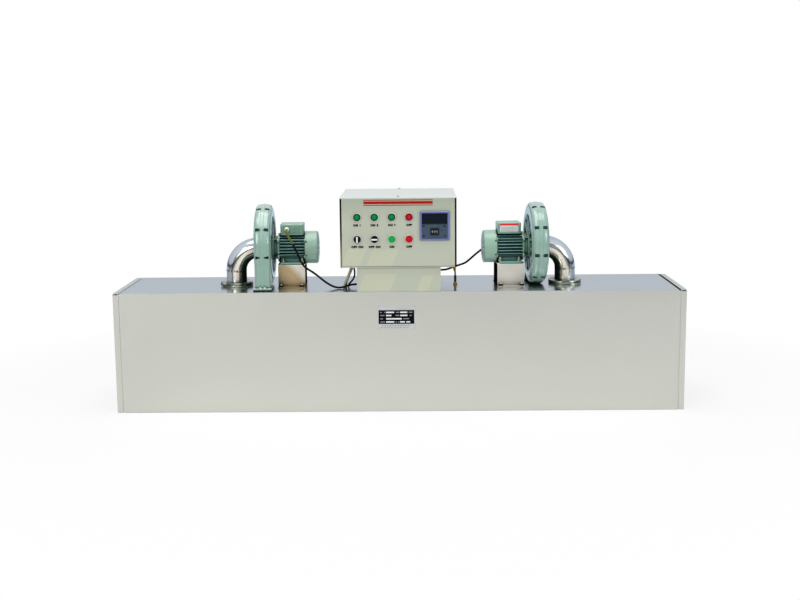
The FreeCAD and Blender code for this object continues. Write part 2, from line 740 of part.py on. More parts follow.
def neck_gussets(rim):
    """Webs that brace the neck of the drive end shield, between the tie rods."""
    outline = [(MOTOR_FACE + GUSSET_THICKNESS, NECK_RADIUS - GUSSET_THICKNESS),
               (MOTOR_FACE + GUSSET_THICKNESS, HUB_RADIUS - 2), (rim, SHIELD_RADIUS - 1),
               (rim, NECK_RADIUS - GUSSET_THICKNESS)]
    web = closed_face([V(x, -GUSSET_THICKNESS / 2, r) for x, r in outline])
    web = web.extrude(V(0, GUSSET_THICKNESS, 0))
    return [spun_x(web, (i + 0.5) * 360 / GUSSET_COUNT) for i in range(GUSSET_COUNT)]


def front_shield():
    """Drive end shield: a braced neck on the casing's hub, the bearing seat and four tie rod lugs."""
    rim = HOUSING_START - SHIELD_RIM
    body = turned_x([(MOTOR_FACE, 0), (MOTOR_FACE, HUB_RADIUS - 2), (MOTOR_FACE + 5, HUB_RADIUS - 2),
                     (MOTOR_FACE + 5, NECK_RADIUS), (rim, NECK_RADIUS + 2), (rim, SHIELD_RADIUS),
                     (HOUSING_START, SHIELD_RADIUS), (HOUSING_START, 0)])
    seat = along_x(HOUSING_START - BEARING_FRONT_WIDTH, HOUSING_START, BEARING_FRONT_DIAMETER / 2)
    shaft_hole = along_x(MOTOR_FACE, HOUSING_START, SHAFT_RADIUS + 1.0)
    ties = [along_x(rim, HOUSING_START, TIE_DIAMETER / 2 + SCREW_CLEARANCE, y, z) for y, z in tie_places()]
    shapes = [body] + tie_lugs(rim, HOUSING_START) + neck_gussets(rim)
    return joined(shapes).cut([seat, shaft_hole] + ties)


def rear_shield():
    """Fan end shield: a disc with lugs, a step that the cowl slides over and a bearing boss."""
    step_end = COWL_START + SHIELD_RIM
    cowl_seat = COWL_RADIUS - COWL_WALL - SHEET_CLEARANCE
    boss = BEARING_REAR_DIAMETER / 2 + BOSS_WALL
    boss_start = HOUSING_END - BEARING_REAR_WIDTH
    body = turned_x([(boss_start, 0), (boss_start, boss), (HOUSING_END, boss), (HOUSING_END, SHIELD_RADIUS),
                     (COWL_START, SHIELD_RADIUS), (COWL_START, cowl_seat), (step_end, cowl_seat),
                     (step_end, 0)])
    seat = along_x(boss_start, HOUSING_END, BEARING_REAR_DIAMETER / 2)
    shaft_hole = along_x(boss_start, step_end, SHAFT_RADIUS + 1.0)
    lugs = [lug.cut(body) for lug in tie_lugs(HOUSING_END, COWL_START - SHEET_CLEARANCE)]
    ties = [along_x(HOUSING_END, COWL_START, TIE_DIAMETER / 2 + SCREW_CLEARANCE, y, z)
            for y, z in tie_places()]
    return joined([body] + lugs).cut([seat, shaft_hole] + ties)


def tie_rods():
    rods = []
    rim = HOUSING_START - SHIELD_RIM
    for y, z in tie_places():
        rod = along_x(rim, COWL_START - SHEET_CLEARANCE, TIE_DIAMETER / 2, y, z)
        head = along_x(rim - HEAD_THICKNESS, rim, TIE_DIAMETER * 0.8, y, z, 6)
        rods.append(joined([rod, head]))
    return rods


def cooling_fins():
    """Radial fins on the barrel's flanks, from below the terminal box down to the feet."""
    fin = box((HOUSING_START, HOUSING_END), (-FIN_THICKNESS / 2, FIN_THICKNESS / 2),
              (BARREL_RADIUS - FIN_THICKNESS, FIN_RADIUS))
    return [spun_x(fin, side * (FIN_FIRST + i * FIN_STEP)) for side in (-1, 1) for i in range(FIN_COUNT)]


def stator_housing():
    """Barrel with fins on both flanks, a seat for the terminal box and two feet."""
    x = (HOUSING_START, HOUSING_END)
    barrel = along_x(x[0], x[1], BARREL_RADIUS)
    seat = box((TERMINAL_X, TERMINAL_X + TERMINAL_LENGTH), (-SEAT_WIDTH / 2, SEAT_WIDTH / 2),
               (0, TERMINAL_BOTTOM))
    shapes = [barrel, seat] + cooling_fins()
    foot_middle = FEET_SPAN / 2
    foot_x = (x[0] + TERMINAL_START, x[1] - TERMINAL_START)
    for side in (-1, 1):
        pad_y = sorted((side * (foot_middle - FOOT_PAD_WIDTH / 2), side * (foot_middle + FOOT_PAD_WIDTH / 2)))
        shapes.append(box(foot_x, pad_y, (-MOTOR_HEIGHT, -MOTOR_HEIGHT + FOOT_PAD)))
        web_y = sorted((side * (foot_middle - FOOT_PAD_WIDTH / 2), side * BARREL_BORE * 0.7))
        shapes.append(box(foot_x, web_y, (-MOTOR_HEIGHT, 0)))
    bore = along_x(x[0], x[1], BARREL_BORE)
    cuts = [bore]
    cuts += [along_x(x[0], x[1], TIE_DIAMETER / 2 + SHEET_CLEARANCE, y, z) for y, z in tie_places()]
    for bolt_x, bolt_y in foot_bolt_places():
        cuts.append(along_z(-MOTOR_HEIGHT, -MOTOR_HEIGHT + FOOT_PAD, FOOT_BOLT / 2 + SCREW_CLEARANCE,
                            bolt_x, bolt_y))
    return joined(shapes).cut(cuts)


def stator_winding():
    """Laminated stack with the winding heads, pressed into the barrel."""
    end = WINDING_START + WINDING_LENGTH
    return along_x(WINDING_START, end, BARREL_BORE).cut(along_x(WINDING_START, end, WINDING_BORE))


def bearing(x0, width, diameter):
    ring = along_x(x0, x0 + width, diameter / 2)
    return ring.cut(along_x(x0, x0 + width, SHAFT_RADIUS + RUNNING_CLEARANCE))


def motor_bearings():
    front = bearing(HOUSING_START - BEARING_FRONT_WIDTH, BEARING_FRONT_WIDTH, BEARING_FRONT_DIAMETER)
    rear = bearing(HOUSING_END - BEARING_REAR_WIDTH, BEARING_REAR_WIDTH, BEARING_REAR_DIAMETER)
    return [front, rear]


def rotor():
    """Shaft with the cast rotor core and the nut that holds the blade wheel."""
    wheel_front = -WHEEL_WIDTH / 6
    core_start = WINDING_START + (WINDING_LENGTH - CORE_LENGTH) / 2
    nut = along_x(wheel_front - HEAD_THICKNESS, wheel_front, SHAFT_RADIUS + 3.0, sides=6)
    shaft = along_x(wheel_front, SHAFT_END, SHAFT_RADIUS)
    core = along_x(core_start, core_start + CORE_LENGTH, WINDING_BORE - AIR_GAP)
    return joined([nut, shaft, core])


def cooling_fan():
    back = along_x(FAN_START, FAN_START + WHEEL_SHEET, FAN_RADIUS - 5)
    hub = along_x(FAN_START, FAN_START + FAN_WIDTH, FAN_HUB)
    blades = []
    for i in range(FAN_BLADES):
        plate = box((FAN_START, FAN_START + FAN_WIDTH), (-WHEEL_SHEET / 2, WHEEL_SHEET / 2),
                    (FAN_HUB - WHEEL_SHEET, FAN_RADIUS))
        blades.append(spun_x(plate, i * 360 / FAN_BLADES))
    bore = along_x(FAN_START, FAN_START + FAN_WIDTH, SHAFT_RADIUS + RUNNING_CLEARANCE / 2)
    return joined([back, hub] + blades).cut(bore)


def fan_cowl():
    """Pressed cup over the fan with a slotted, slightly domed end."""
    corner = COWL_EDGE * 0.3
    dome_edge = COWL_RADIUS / 2
    outside = [(COWL_START, COWL_RADIUS), (COWL_END - COWL_EDGE, COWL_RADIUS),
               (COWL_END - corner, COWL_RADIUS - corner), (COWL_END, COWL_RADIUS - COWL_EDGE),
               (COWL_END + COWL_DOME * 0.8, dome_edge), (COWL_END + COWL_DOME, 0)]
    inside = [(COWL_END + COWL_DOME - COWL_WALL, 0), (COWL_END + COWL_DOME * 0.8 - COWL_WALL, dome_edge),
              (COWL_END - COWL_WALL, COWL_RADIUS - COWL_EDGE),
              (COWL_END - corner - COWL_WALL, COWL_RADIUS - corner - COWL_WALL),
              (COWL_END - COWL_EDGE, COWL_RADIUS - COWL_WALL), (COWL_START, COWL_RADIUS - COWL_WALL)]
    cup = turned_x(outside + inside)
    slots = []
    for i in range(GRILLE_SLOTS):
        slot = box((COWL_END - COWL_EDGE, COWL_END + COWL_DOME + COWL_WALL),
                   (-GRILLE_WIDTH / 2, GRILLE_WIDTH / 2), (GRILLE_INNER, GRILLE_OUTER))
        slots.append(spun_x(slot, i * 360 / GRILLE_SLOTS))
    return cup.cut(slots)


# ---- Motor terminal box and gland --------------------------------------------------------------
def terminal_box():
    half = TERMINAL_WIDTH / 2
    x = (TERMINAL_X, TERMINAL_X + TERMINAL_LENGTH)
    shell = box(x, (-half, half), (TERMINAL_BOTTOM, TERMINAL_TOP))
    shell = rounded(shell, TERMINAL_CORNER, lambda c, d: abs(d.z) > 0.9)
    hollow = box((x[0] + TERMINAL_WALL, x[1] - TERMINAL_WALL), (-half + TERMINAL_WALL, half - TERMINAL_WALL),
                 (TERMINAL_BOTTOM + TERMINAL_WALL, TERMINAL_TOP))
    hollow = rounded(hollow, TERMINAL_CORNER - TERMINAL_WALL, lambda c, d: abs(d.z) > 0.9)
    outer = half + TERMINAL_FLANGE
    flange = box(x, (-outer, outer), (TERMINAL_BOTTOM, TERMINAL_BOTTOM + TERMINAL_FLANGE_HEIGHT))
    shapes = [shell, rounded(flange, TERMINAL_CORNER, lambda c, d: abs(d.z) > 0.9)]
    for i in range(TERMINAL_RIBS):
        rib_x = GLAND_X + TERMINAL_RIB_START + i * TERMINAL_RIB_PITCH
        shapes.append(box((rib_x, rib_x + TERMINAL_RIB_WIDTH),
                          (-half - TERMINAL_RIB_RISE, -half + TERMINAL_RIB_RISE),
                          (TERMINAL_BOTTOM + TERMINAL_FLANGE_HEIGHT, TERMINAL_TOP - 5)))
    cable_hole = along_y(-half - 1, -half + TERMINAL_WALL, MOTOR_LEAD / 2, GLAND_X, GLAND_Z)
    return joined(shapes).cut([hollow, cable_hole])


def terminal_lid():
    half = TERMINAL_WIDTH / 2
    lid = box((TERMINAL_X, TERMINAL_X + TERMINAL_LENGTH), (-half, half),
              (TERMINAL_TOP, TERMINAL_TOP + LID_THICKNESS))
    lid = rounded(lid, TERMINAL_CORNER, lambda c, d: abs(d.z) > 0.9)
    top = TERMINAL_TOP + LID_THICKNESS
    return lid.makeFillet(LID_EDGE, [e for e in lid.Edges if abs(e.CenterOfMass.z - top) < 0.01])


def motor_gland():
    """Gland body against the terminal box and a domed cap that the lead leaves square."""
    front = -TERMINAL_WIDTH / 2
    outline = [(0, 0), (GLAND_RADIUS, 0), (GLAND_RADIUS, 4), (GLAND_RADIUS - 1.5, 5),
               (GLAND_RADIUS - 1.5, GLAND_LENGTH - 4), (MOTOR_LEAD / 2 + 1, GLAND_LENGTH), (0, GLAND_LENGTH)]
    gland = turned_z(outline)
    gland.rotate(V(0, 0, 0), V(1, 0, 0), 90)
    gland.translate(V(GLAND_X, front, GLAND_Z))
    return gland


# ---- Motor bracket and bolts -------------------------------------------------------------------
def motor_bracket():
    """Folded sheet in the form of an upturned U with outward feet."""
    x = (BRACKET_START, BRACKET_START + BRACKET_LENGTH)
    half = BRACKET_WIDTH / 2
    top = -MOTOR_HEIGHT
    low = -SHAFT_RISE
    outer = rounded(box(x, (-half, half), (low, top)), BRACKET_BEND,
                    lambda c, d: abs(d.x) > 0.9 and abs(c.z - top) < 0.01)
    inner_half = half - BRACKET_SHEET
    inner = box(x, (-inner_half, inner_half), (low, top - BRACKET_SHEET))
    inner = rounded(inner, BRACKET_BEND - BRACKET_SHEET,
                    lambda c, d: abs(d.x) > 0.9 and abs(c.z - top + BRACKET_SHEET) < 0.01)
    feet = [box(x, sorted((side * inner_half, side * (half + BRACKET_FOOT))), (low, low + BRACKET_SHEET))
            for side in (-1, 1)]
    shape = joined([outer.cut(inner)] + feet)
    holes = [along_z(low, low + BRACKET_SHEET, FOOT_BOLT / 2 + SCREW_CLEARANCE, bx, by)
             for bx, by in bracket_bolt_places()]
    holes += [along_z(top - BRACKET_SHEET, top, FOOT_BOLT / 2 + SCREW_CLEARANCE, bx, by)
              for bx, by in foot_bolt_places()]
    return shape.cut(holes)


def foot_bolt_places():
    return [(FEET_X + i * FEET_PITCH, side * FEET_SPAN / 2) for i in (0, 1) for side in (-1, 1)]


def bracket_bolt_places():
    middle = BRACKET_START + BRACKET_LENGTH / 2
    y = BRACKET_WIDTH / 2 + BRACKET_BOLT_OUT
    return [(middle + i * BRACKET_BOLT_PITCH / 2, side * y) for i in (-1, 1) for side in (-1, 1)]


def mounting_bolts():
    """Studs with nuts through the motor's feet, and flanged screws through the bracket's feet."""
    bolts = []
    under = -MOTOR_HEIGHT - BRACKET_SHEET
    pad_top = -MOTOR_HEIGHT + FOOT_PAD
    for x, y in foot_bolt_places():
        head = along_z(under - HEAD_THICKNESS, under, FOOT_BOLT * 0.8, x, y, 6)
        stud = along_z(under, pad_top + STUD_RISE, FOOT_BOLT / 2, x, y)
        nut = along_z(pad_top, pad_top + HEAD_THICKNESS + 1, FOOT_BOLT * 0.8, x, y, 6)
        bolts.append(joined([head, stud, nut]))
    plate_top = -SHAFT_RISE + BRACKET_SHEET
    for x, y in bracket_bolt_places():
        shank = along_z(-SHAFT_RISE, plate_top, FOOT_BOLT / 2, x, y)
        washer = along_z(plate_top, plate_top + 1.2, FOOT_BOLT, x, y)
        head = along_z(plate_top + 1.2, plate_top + 1.2 + HEAD_THICKNESS, FOOT_BOLT * 0.8, x, y, 6)
        bolts.append(joined([shank, washer, head]))
    return bolts


# ---- Pedestal and cabinet ----------------------------------------------------------------------
def pedestal():
    half = PEDESTAL_WIDTH / 2
    y = (PEDESTAL_FRONT, PEDESTAL_FRONT + PEDESTAL_DEPTH)
    z = (TANK_HEIGHT, PEDESTAL_TOP)
    outer = rounded(box((-half, half), y, z), SHEET, lambda c, d: abs(d.z) > 0.9)
    hollow = box((-half + SHEET, half - SHEET), (y[0] + SHEET, y[1] - SHEET), z)
    return outer.cut(hollow)


def cabinet_shell():
    """Floor and back of the cabinet in one folded sheet, open where the pedestal brings the wiring up."""
    inside = HALF_CABINET - SHEET
    y = (CABINET_FRONT + SEAL_DEPTH, CABINET_BACK - SHEET)
    floor = box((-inside, inside), y, (PEDESTAL_TOP, PEDESTAL_TOP + SHEET))
    back = box((-inside, inside), (CABINET_BACK - SHEET, CABINET_BACK), (PEDESTAL_TOP, CABINET_TOP - SHEET))
    half = PEDESTAL_WIDTH / 2 - FOLD
    wiring_hole = box((-half, half), (PEDESTAL_FRONT + FOLD, PEDESTAL_FRONT + PEDESTAL_DEPTH - FOLD),
                      (PEDESTAL_TOP, PEDESTAL_TOP + SHEET))
    gland_hole = along_y(CABINET_BACK - SHEET, CABINET_BACK, INLET_BORE + SHEET, INLET_X, INLET_Z)
    return joined([floor, back]).cut([wiring_hole, gland_hole])


def hood():
    """Top and two sides in one folded sheet with a rolled front edge over the fascia."""
    top = box((-HALF_CABINET, HALF_CABINET), (CABINET_FRONT, CABINET_BACK),
              (CABINET_TOP - SHEET, CABINET_TOP))
    sides = []
    for side in (-1, 1):
        x = sorted((side * HALF_CABINET, side * (HALF_CABINET - SHEET)))
        sides.append(box(x, (CABINET_FRONT + SEAL_DEPTH, CABINET_BACK), (PEDESTAL_TOP, CABINET_TOP)))
    roll = box((-HALF_CABINET, HALF_CABINET), (CABINET_FRONT, CABINET_FRONT + SHEET),
               (FASCIA_TOP, CABINET_TOP))
    shape = joined([top, roll] + sides)
    return rounded(shape, SHEET * 0.7, lambda c, d: abs(c.z - CABINET_TOP) < 0.01 and abs(d.x) > 0.9
                   and abs(c.y - CABINET_FRONT) < 0.01)


def edge_seals():
    """Rubber edging that closes the joint between the fascia and each side of the hood."""
    seals = []
    for side in (-1, 1):
        x = sorted((side * FASCIA_HALF, side * HALF_CABINET))
        seals.append(box(x, (CABINET_FRONT, CABINET_FRONT + SEAL_DEPTH), (PEDESTAL_TOP, FASCIA_TOP)))
    return seals


def device_x(column):
    return DEVICE_FIRST + column * DEVICE_PITCH


def device_places():
    return [(device_x(column), z) for z in (LAMP_ROW, SWITCH_ROW) for column in range(4)]


def fascia():
    """Front panel with the device holes and the controller's cut-out."""
    skin = box((-FASCIA_HALF, FASCIA_HALF), (CABINET_FRONT, CABINET_FRONT + SHEET),
               (PEDESTAL_TOP, FASCIA_TOP))
    fold = box((-FASCIA_HALF, FASCIA_HALF), (CABINET_FRONT, CABINET_FRONT + SEAL_DEPTH),
               (PEDESTAL_TOP, PEDESTAL_TOP + SHEET))
    holes = [along_y(CABINET_FRONT, CABINET_FRONT + SHEET, DEVICE_HOLE, x, z) for x, z in device_places()]
    half = CONTROLLER_CUTOUT / 2
    holes.append(box((CONTROLLER_X - half, CONTROLLER_X + half), (CABINET_FRONT, CABINET_FRONT + SHEET),
                     (CONTROLLER_Z - half, CONTROLLER_Z + half)))
    return joined([skin, fold]).cut(holes)


# ---- Lamps, selectors and buttons --------------------------------------------------------------
def bezel(x, z, moving):
    """Front ring and the barrel behind the fascia; a moving device gets a bore for its stem."""
    front = CABINET_FRONT
    proud = front - BEZEL_PROUD
    ring = along_y(proud, front, BEZEL_RADIUS, x, z)
    ring = ring.makeChamfer(1.2, [e for e in ring.Edges if abs(e.CenterOfMass.y - proud) < 0.01
                                  and e.Curve.TypeId == "Part::GeomCircle"])
    barrel = along_y(front, front + BARREL_LENGTH, BARREL_OUTER, x, z)
    cuts = [along_y(proud, front, BEZEL_BORE, x, z)]
    if moving:
        cuts.append(along_y(front, front + STEM_LENGTH + BUTTON_TRAVEL, STEM_RADIUS + RUNNING_CLEARANCE,
                            x, z))
    return joined([ring, barrel]).cut(cuts)


def device_bezels():
    lamps = [bezel(device_x(column), LAMP_ROW, False) for column in range(4)]
    return lamps + [bezel(device_x(column), SWITCH_ROW, True) for column in range(4)]


def pilot_lens(column):
    """Round lens with a stepped, slightly domed face."""
    x = device_x(column)
    front = CABINET_FRONT
    radius = BEZEL_BORE - SHEET_CLEARANCE / 2
    outline = [(0, 0), (radius, 0), (radius, BEZEL_PROUD), (radius - LENS_EDGE, BEZEL_PROUD + LENS_EDGE),
               (radius - LENS_TERRACE_IN, BEZEL_PROUD + LENS_TERRACE),
               (radius - LENS_SHOULDER_IN, BEZEL_PROUD + LENS_DOME * 0.8),
               (radius - LENS_CROWN_IN, BEZEL_PROUD + LENS_DOME), (0, BEZEL_PROUD + LENS_DOME * 1.1)]
    lens = turned_z(outline)
    lens.rotate(V(0, 0, 0), V(1, 0, 0), 90)
    lens.translate(V(x, front, LAMP_ROW))
    return lens


def selector_knob(column, turn):
    """Round knob with a raised grip bar, on a stem through the bezel; turn 0 stands the grip upright."""
    x = device_x(column)
    front = CABINET_FRONT
    disc_back = front - SHEET_CLEARANCE
    disc_front = front - KNOB_DISC
    disc = along_y(disc_front, disc_back, KNOB_RADIUS, x, SWITCH_ROW)
    half = HANDLE_WIDTH / 2
    grip = box((x - half, x + half), (disc_front - HANDLE_RISE, disc_front),
               (SWITCH_ROW - KNOB_RADIUS, SWITCH_ROW + KNOB_RADIUS))
    grip = grip.common(along_y(disc_front - HANDLE_RISE, disc_front, KNOB_RADIUS, x, SWITCH_ROW))
    grip.rotate(V(x, 0, SWITCH_ROW), V(0, 1, 0), turn)
    stem = along_y(disc_back, front + STEM_LENGTH, STEM_RADIUS, x, SWITCH_ROW)
    return joined([disc, grip, stem])


def push_button(column):
    """Flat cap in a bezel on a stem; it travels into the bezel."""
    x = device_x(column)
    back = CABINET_FRONT - BUTTON_TRAVEL - SHEET_CLEARANCE
    face = back - BUTTON_THICKNESS
    cap = along_y(face, back, KNOB_RADIUS, x, SWITCH_ROW)
    cap = cap.makeFillet(1.0, [e for e in cap.Edges if abs(e.CenterOfMass.y - face) < 0.01])
    stem = along_y(back, CABINET_FRONT + STEM_LENGTH - SHEET, STEM_RADIUS, x, SWITCH_ROW)
    return joined([cap, stem])


# ---- Temperature controller --------------------------------------------------------------------
def controller_frame():
    """(low corner, high corner) of the controller's recessed face."""
    half = CONTROLLER_SIZE / 2 - CONTROLLER_BORDER
    return (CONTROLLER_X - half, CONTROLLER_X + half), (CONTROLLER_Z - half, CONTROLLER_Z + half)


def window_height():
    low = CONTROLLER_Z - CONTROLLER_SIZE / 2
    return low + WINDOW_SHARE_LOW * CONTROLLER_SIZE, low + WINDOW_SHARE_HIGH * CONTROLLER_SIZE


def digit_axis():
    face = CABINET_FRONT - CONTROLLER_PROUD + CONTROLLER_RECESS
    return face - DIGIT_PROUD + DIGIT_RADIUS, CONTROLLER_Z + (WHEEL_BLOCK_Z - 0.5) * CONTROLLER_SIZE


def digit_x(place):
    return CONTROLLER_X + (place - 1) * DIGIT_PITCH


def controller_case():
    """Square bezel, recessed face, body behind the fascia and the axle of the three number wheels."""
    half, body = CONTROLLER_SIZE / 2, CONTROLLER_BODY / 2
    front = CABINET_FRONT - CONTROLLER_PROUD
    plate = box((CONTROLLER_X - half, CONTROLLER_X + half), (front, CABINET_FRONT),
                (CONTROLLER_Z - half, CONTROLLER_Z + half))
    plate = plate.makeChamfer(1.5, [e for e in plate.Edges if abs(e.CenterOfMass.y - front) < 0.01])
    housing = box((CONTROLLER_X - body, CONTROLLER_X + body),
                  (CABINET_FRONT, CABINET_FRONT + CONTROLLER_DEPTH),
                  (CONTROLLER_Z - body, CONTROLLER_Z + body))
    face_x, face_z = controller_frame()
    recess = box(face_x, (front, front + CONTROLLER_RECESS), face_z)
    axis_y, axis_z = digit_axis()
    well_half = WHEEL_BLOCK_WIDTH / 2 - 2.0
    well = box((CONTROLLER_X - well_half, CONTROLLER_X + well_half),
               (front, axis_y + DIGIT_RADIUS + 1.0),
               (axis_z - DIGIT_RADIUS - 1.0, axis_z + DIGIT_RADIUS + 1.0))
    axle = along_x(CONTROLLER_X - well_half, CONTROLLER_X + well_half, DIGIT_AXLE, axis_y, axis_z)
    return joined([joined([plate, housing]).cut([recess, well]), axle])


def controller_window():
    """Dark display window that lies in the recess above the number wheels."""
    face_x, face_z = controller_frame()
    low, high = window_height()
    front = CABINET_FRONT - CONTROLLER_PROUD
    inset = 1.0
    return box((face_x[0] + inset, face_x[1] - inset), (front + 1.0, front + CONTROLLER_RECESS), (low, high))


def number_wheel(place):
    """Digit wheel that shows a flat in its window, free on the controller's axle."""
    axis_y, axis_z = digit_axis()
    x = digit_x(place)
    half = DIGIT_WIDTH / 2
    flat = DIGIT_RADIUS * math.cos(math.pi / DIGIT_FLATS)
    wheel = along_x(x - half, x + half, flat, axis_y, axis_z, DIGIT_FLATS)
    wheel.rotate(V(x, axis_y, axis_z), V(1, 0, 0), 180 / DIGIT_FLATS)
    return wheel.cut(along_x(x - half, x + half, DIGIT_AXLE + RUNNING_CLEARANCE, axis_y, axis_z))


# ---- Switchgear, rating plate and small pieces -------------------------------------------------
def control_gear():
    """Mounting rail on the cabinet's back with contactors, a relay and a terminal block."""
    back = CABINET_BACK - SHEET
    rail = box((-RAIL_LENGTH / 2, RAIL_LENGTH / 2), (back - RAIL_DEPTH, back),
               (RAIL_Z - RAIL_HEIGHT / 2, RAIL_Z + RAIL_HEIGHT / 2))
    pieces = [rail]
    total = sum(GEAR_WIDTHS) + GEAR_SPACE * (len(GEAR_WIDTHS) - 1)
    x = -total / 2
    for width in GEAR_WIDTHS:
        body = box((x, x + width), (back - RAIL_DEPTH - GEAR_DEPTH, back - RAIL_DEPTH),
                   (RAIL_Z - GEAR_HEIGHT / 2, RAIL_Z + GEAR_HEIGHT / 2))
        pieces.append(body)
        x += width + GEAR_SPACE
    return pieces


def rating_plate():
    half_x, half_z = PLATE_WIDTH / 2, PLATE_HEIGHT / 2
    return box((PLATE_X - half_x, PLATE_X + half_x), (-HALF_DEPTH - PLATE_THICKNESS, -HALF_DEPTH),
               (PLATE_Z - half_z, PLATE_Z + half_z))


def small_screws():
    """Screw heads at the corners of the rating plate and on the centre line of the hood."""
    face = -HALF_DEPTH - PLATE_THICKNESS
    heads = []
    for side_x in (-1, 1):
        for side_z in (-1, 1):
            x = PLATE_X + side_x * (PLATE_WIDTH / 2 - PLATE_SCREW_INSET)
            z = PLATE_Z + side_z * (PLATE_HEIGHT / 2 - PLATE_SCREW_INSET)
            heads.append(along_y(face - SCREW_HEAD_RISE, face, SCREW_HEAD_RADIUS, x, z))
    for y in (CABINET_FRONT + HOOD_SCREW_INSET, CABINET_BACK - HOOD_SCREW_INSET):
        heads.append(along_z(CABINET_TOP, CABINET_TOP + 2 * SCREW_HEAD_RISE, HOOD_SCREW_RADIUS, 0, y))
    return heads


def inlet_gland():
    """Mains cable gland through the cabinet's back, with a clear bore."""
    back = CABINET_BACK
    inside = back - SHEET - INLET_NUT
    collar = along_y(back, back + INLET_LENGTH, INLET_BORE + INLET_COLLAR, INLET_X, INLET_Z, 6)
    thread = along_y(inside, back, INLET_BORE + SHEET - SCREW_CLEARANCE, INLET_X, INLET_Z)
    bore = along_y(inside, back + INLET_LENGTH, INLET_BORE, INLET_X, INLET_Z)
    return joined([collar, thread]).cut(bore)


def probe_fitting():
    """Temperature probe screwed into the tank's top, with its stem in the warm air."""
    top = TANK_HEIGHT + PROBE_HEIGHT
    foot = along_z(TANK_HEIGHT, TANK_HEIGHT + PROBE_FOOT, PROBE_RADIUS, PROBE_X, PROBE_Y, 6)
    stem = along_z(TANK_HEIGHT - PROBE_LENGTH, top, PROBE_STEM / 2, PROBE_X, PROBE_Y)
    nut = along_z(top - PROBE_NUT_HEIGHT, top, PROBE_NUT / 2, PROBE_X, PROBE_Y, 6)
    return joined([foot, stem, nut])


# ---- Leads -------------------------------------------------------------------------------------
def tube_along(path, start, direction, radius):
    profile = Part.Wire(Part.makeCircle(radius, start, direction))
    return path.makePipeShell([profile], True, False)


def lead(name, points, diameter):
    """Round lead along straight runs joined by tangent arcs as large as the runs allow."""
    points = [V(*p) for p in points]
    edges, radii = [], []
    start = points[0]
    for before, corner, after in zip(points, points[1:], points[2:]):
        back, ahead = (before - corner), (after - corner)
        trim = 0.45 * min(back.Length, ahead.Length)
        back.normalize()
        ahead.normalize()
        half_turn = (math.pi - back.getAngle(ahead)) / 2
        radius = trim / math.tan(half_turn)
        entry, leave = corner + back * trim, corner + ahead * trim
        inward = back + ahead
        inward.normalize()
        middle = corner + inward * (radius / math.cos(half_turn) - radius)
        edges.append(Part.LineSegment(start, entry).toShape())
        edges.append(Part.Arc(entry, middle, leave).toShape())
        radii.append(radius)
        start = leave
    edges.append(Part.LineSegment(start, points[-1]).toShape())
    path = Part.Wire(edges)
    tube = tube_along(path, points[0], points[1] - points[0], diameter / 2)
    expected = math.pi * diameter ** 2 / 4 * path.Length
    print(name, "length", round(path.Length, 1), "volume share", round(tube.Volume / expected, 4),
          "radii", [round(r) for r in radii])
    return tube


def gland_exit(side, distance):
    """Point that far out of a motor's gland, on the gland's axis."""
    return unit_place(side).multVec(V(GLAND_X, -TERMINAL_WIDTH / 2 - GLAND_LENGTH - distance, GLAND_Z))


LEAD_OUT = 18.0
HALF_PEDESTAL = PEDESTAL_WIDTH / 2

LEFT_MOTOR_LEAD = [
    gland_exit(-1, 0), gland_exit(-1, LEAD_OUT), (-381, -98, 602), (-374, -107, 589), (-363, -110, 570),
    (-351, -108, 547), (-341, -106, 523), (-333, -105, 503), (-323, -105, 487), (-309, -105, 476),
    (-292, -106, 466), (-273, -107, 451), (-252, -109, 434), (-232, -112, 421), (-211, -116, 414),
    (-191, -113, 415), (-172, -104, 420), (-157, -98, 423), (-HALF_PEDESTAL, -98, 423)]

RIGHT_MOTOR_LEAD = [
    gland_exit(1, 0), gland_exit(1, LEAD_OUT), (385, 78, 602), (373, 88, 590), (359, 92, 575),
    (341, 89, 559), (322, 79, 544), (304, 66, 531), (286, 52, 519), (267, 36, 507), (246, 12, 492),
    (228, -14, 482), (209, -35, 479), (190, -50, 475), (172, -57, 469), (157, -60, 465),
    (HALF_PEDESTAL, -60, 465)]

HEATER_SLEEVE_LEAD = [
    (-162, -97, PEDESTAL_TOP), (-162, -97, 481), (-168, -98, 464), (-178, -98, 439), (-187, -97, 422),
    (-187, -97, TANK_HEIGHT)]

HEATER_LEAD_STRAIGHT = [
    (-158, -84, PEDESTAL_TOP), (-158, -84, 482), (-163, -85, 468), (-173, -86, 446), (-182, -85, 424),
    (-182, -85, TANK_HEIGHT)]

HEATER_LEAD_LOOP = [
    (-156, -69, PEDESTAL_TOP), (-156, -69, 480), (-152, -70, 463), (-153, -71, 446), (-160, -71, 433),
    (-168, -70, 425), (-174, -69, 418), (-175, -68, TANK_HEIGHT + 0.8)]

PROBE_LEAD_ROUTE = [
    (189, -40, PEDESTAL_TOP), (189, -40, 482), (191, -41, 467), (PROBE_X, PROBE_Y, 451),
    (PROBE_X, PROBE_Y, TANK_HEIGHT + PROBE_HEIGHT)]


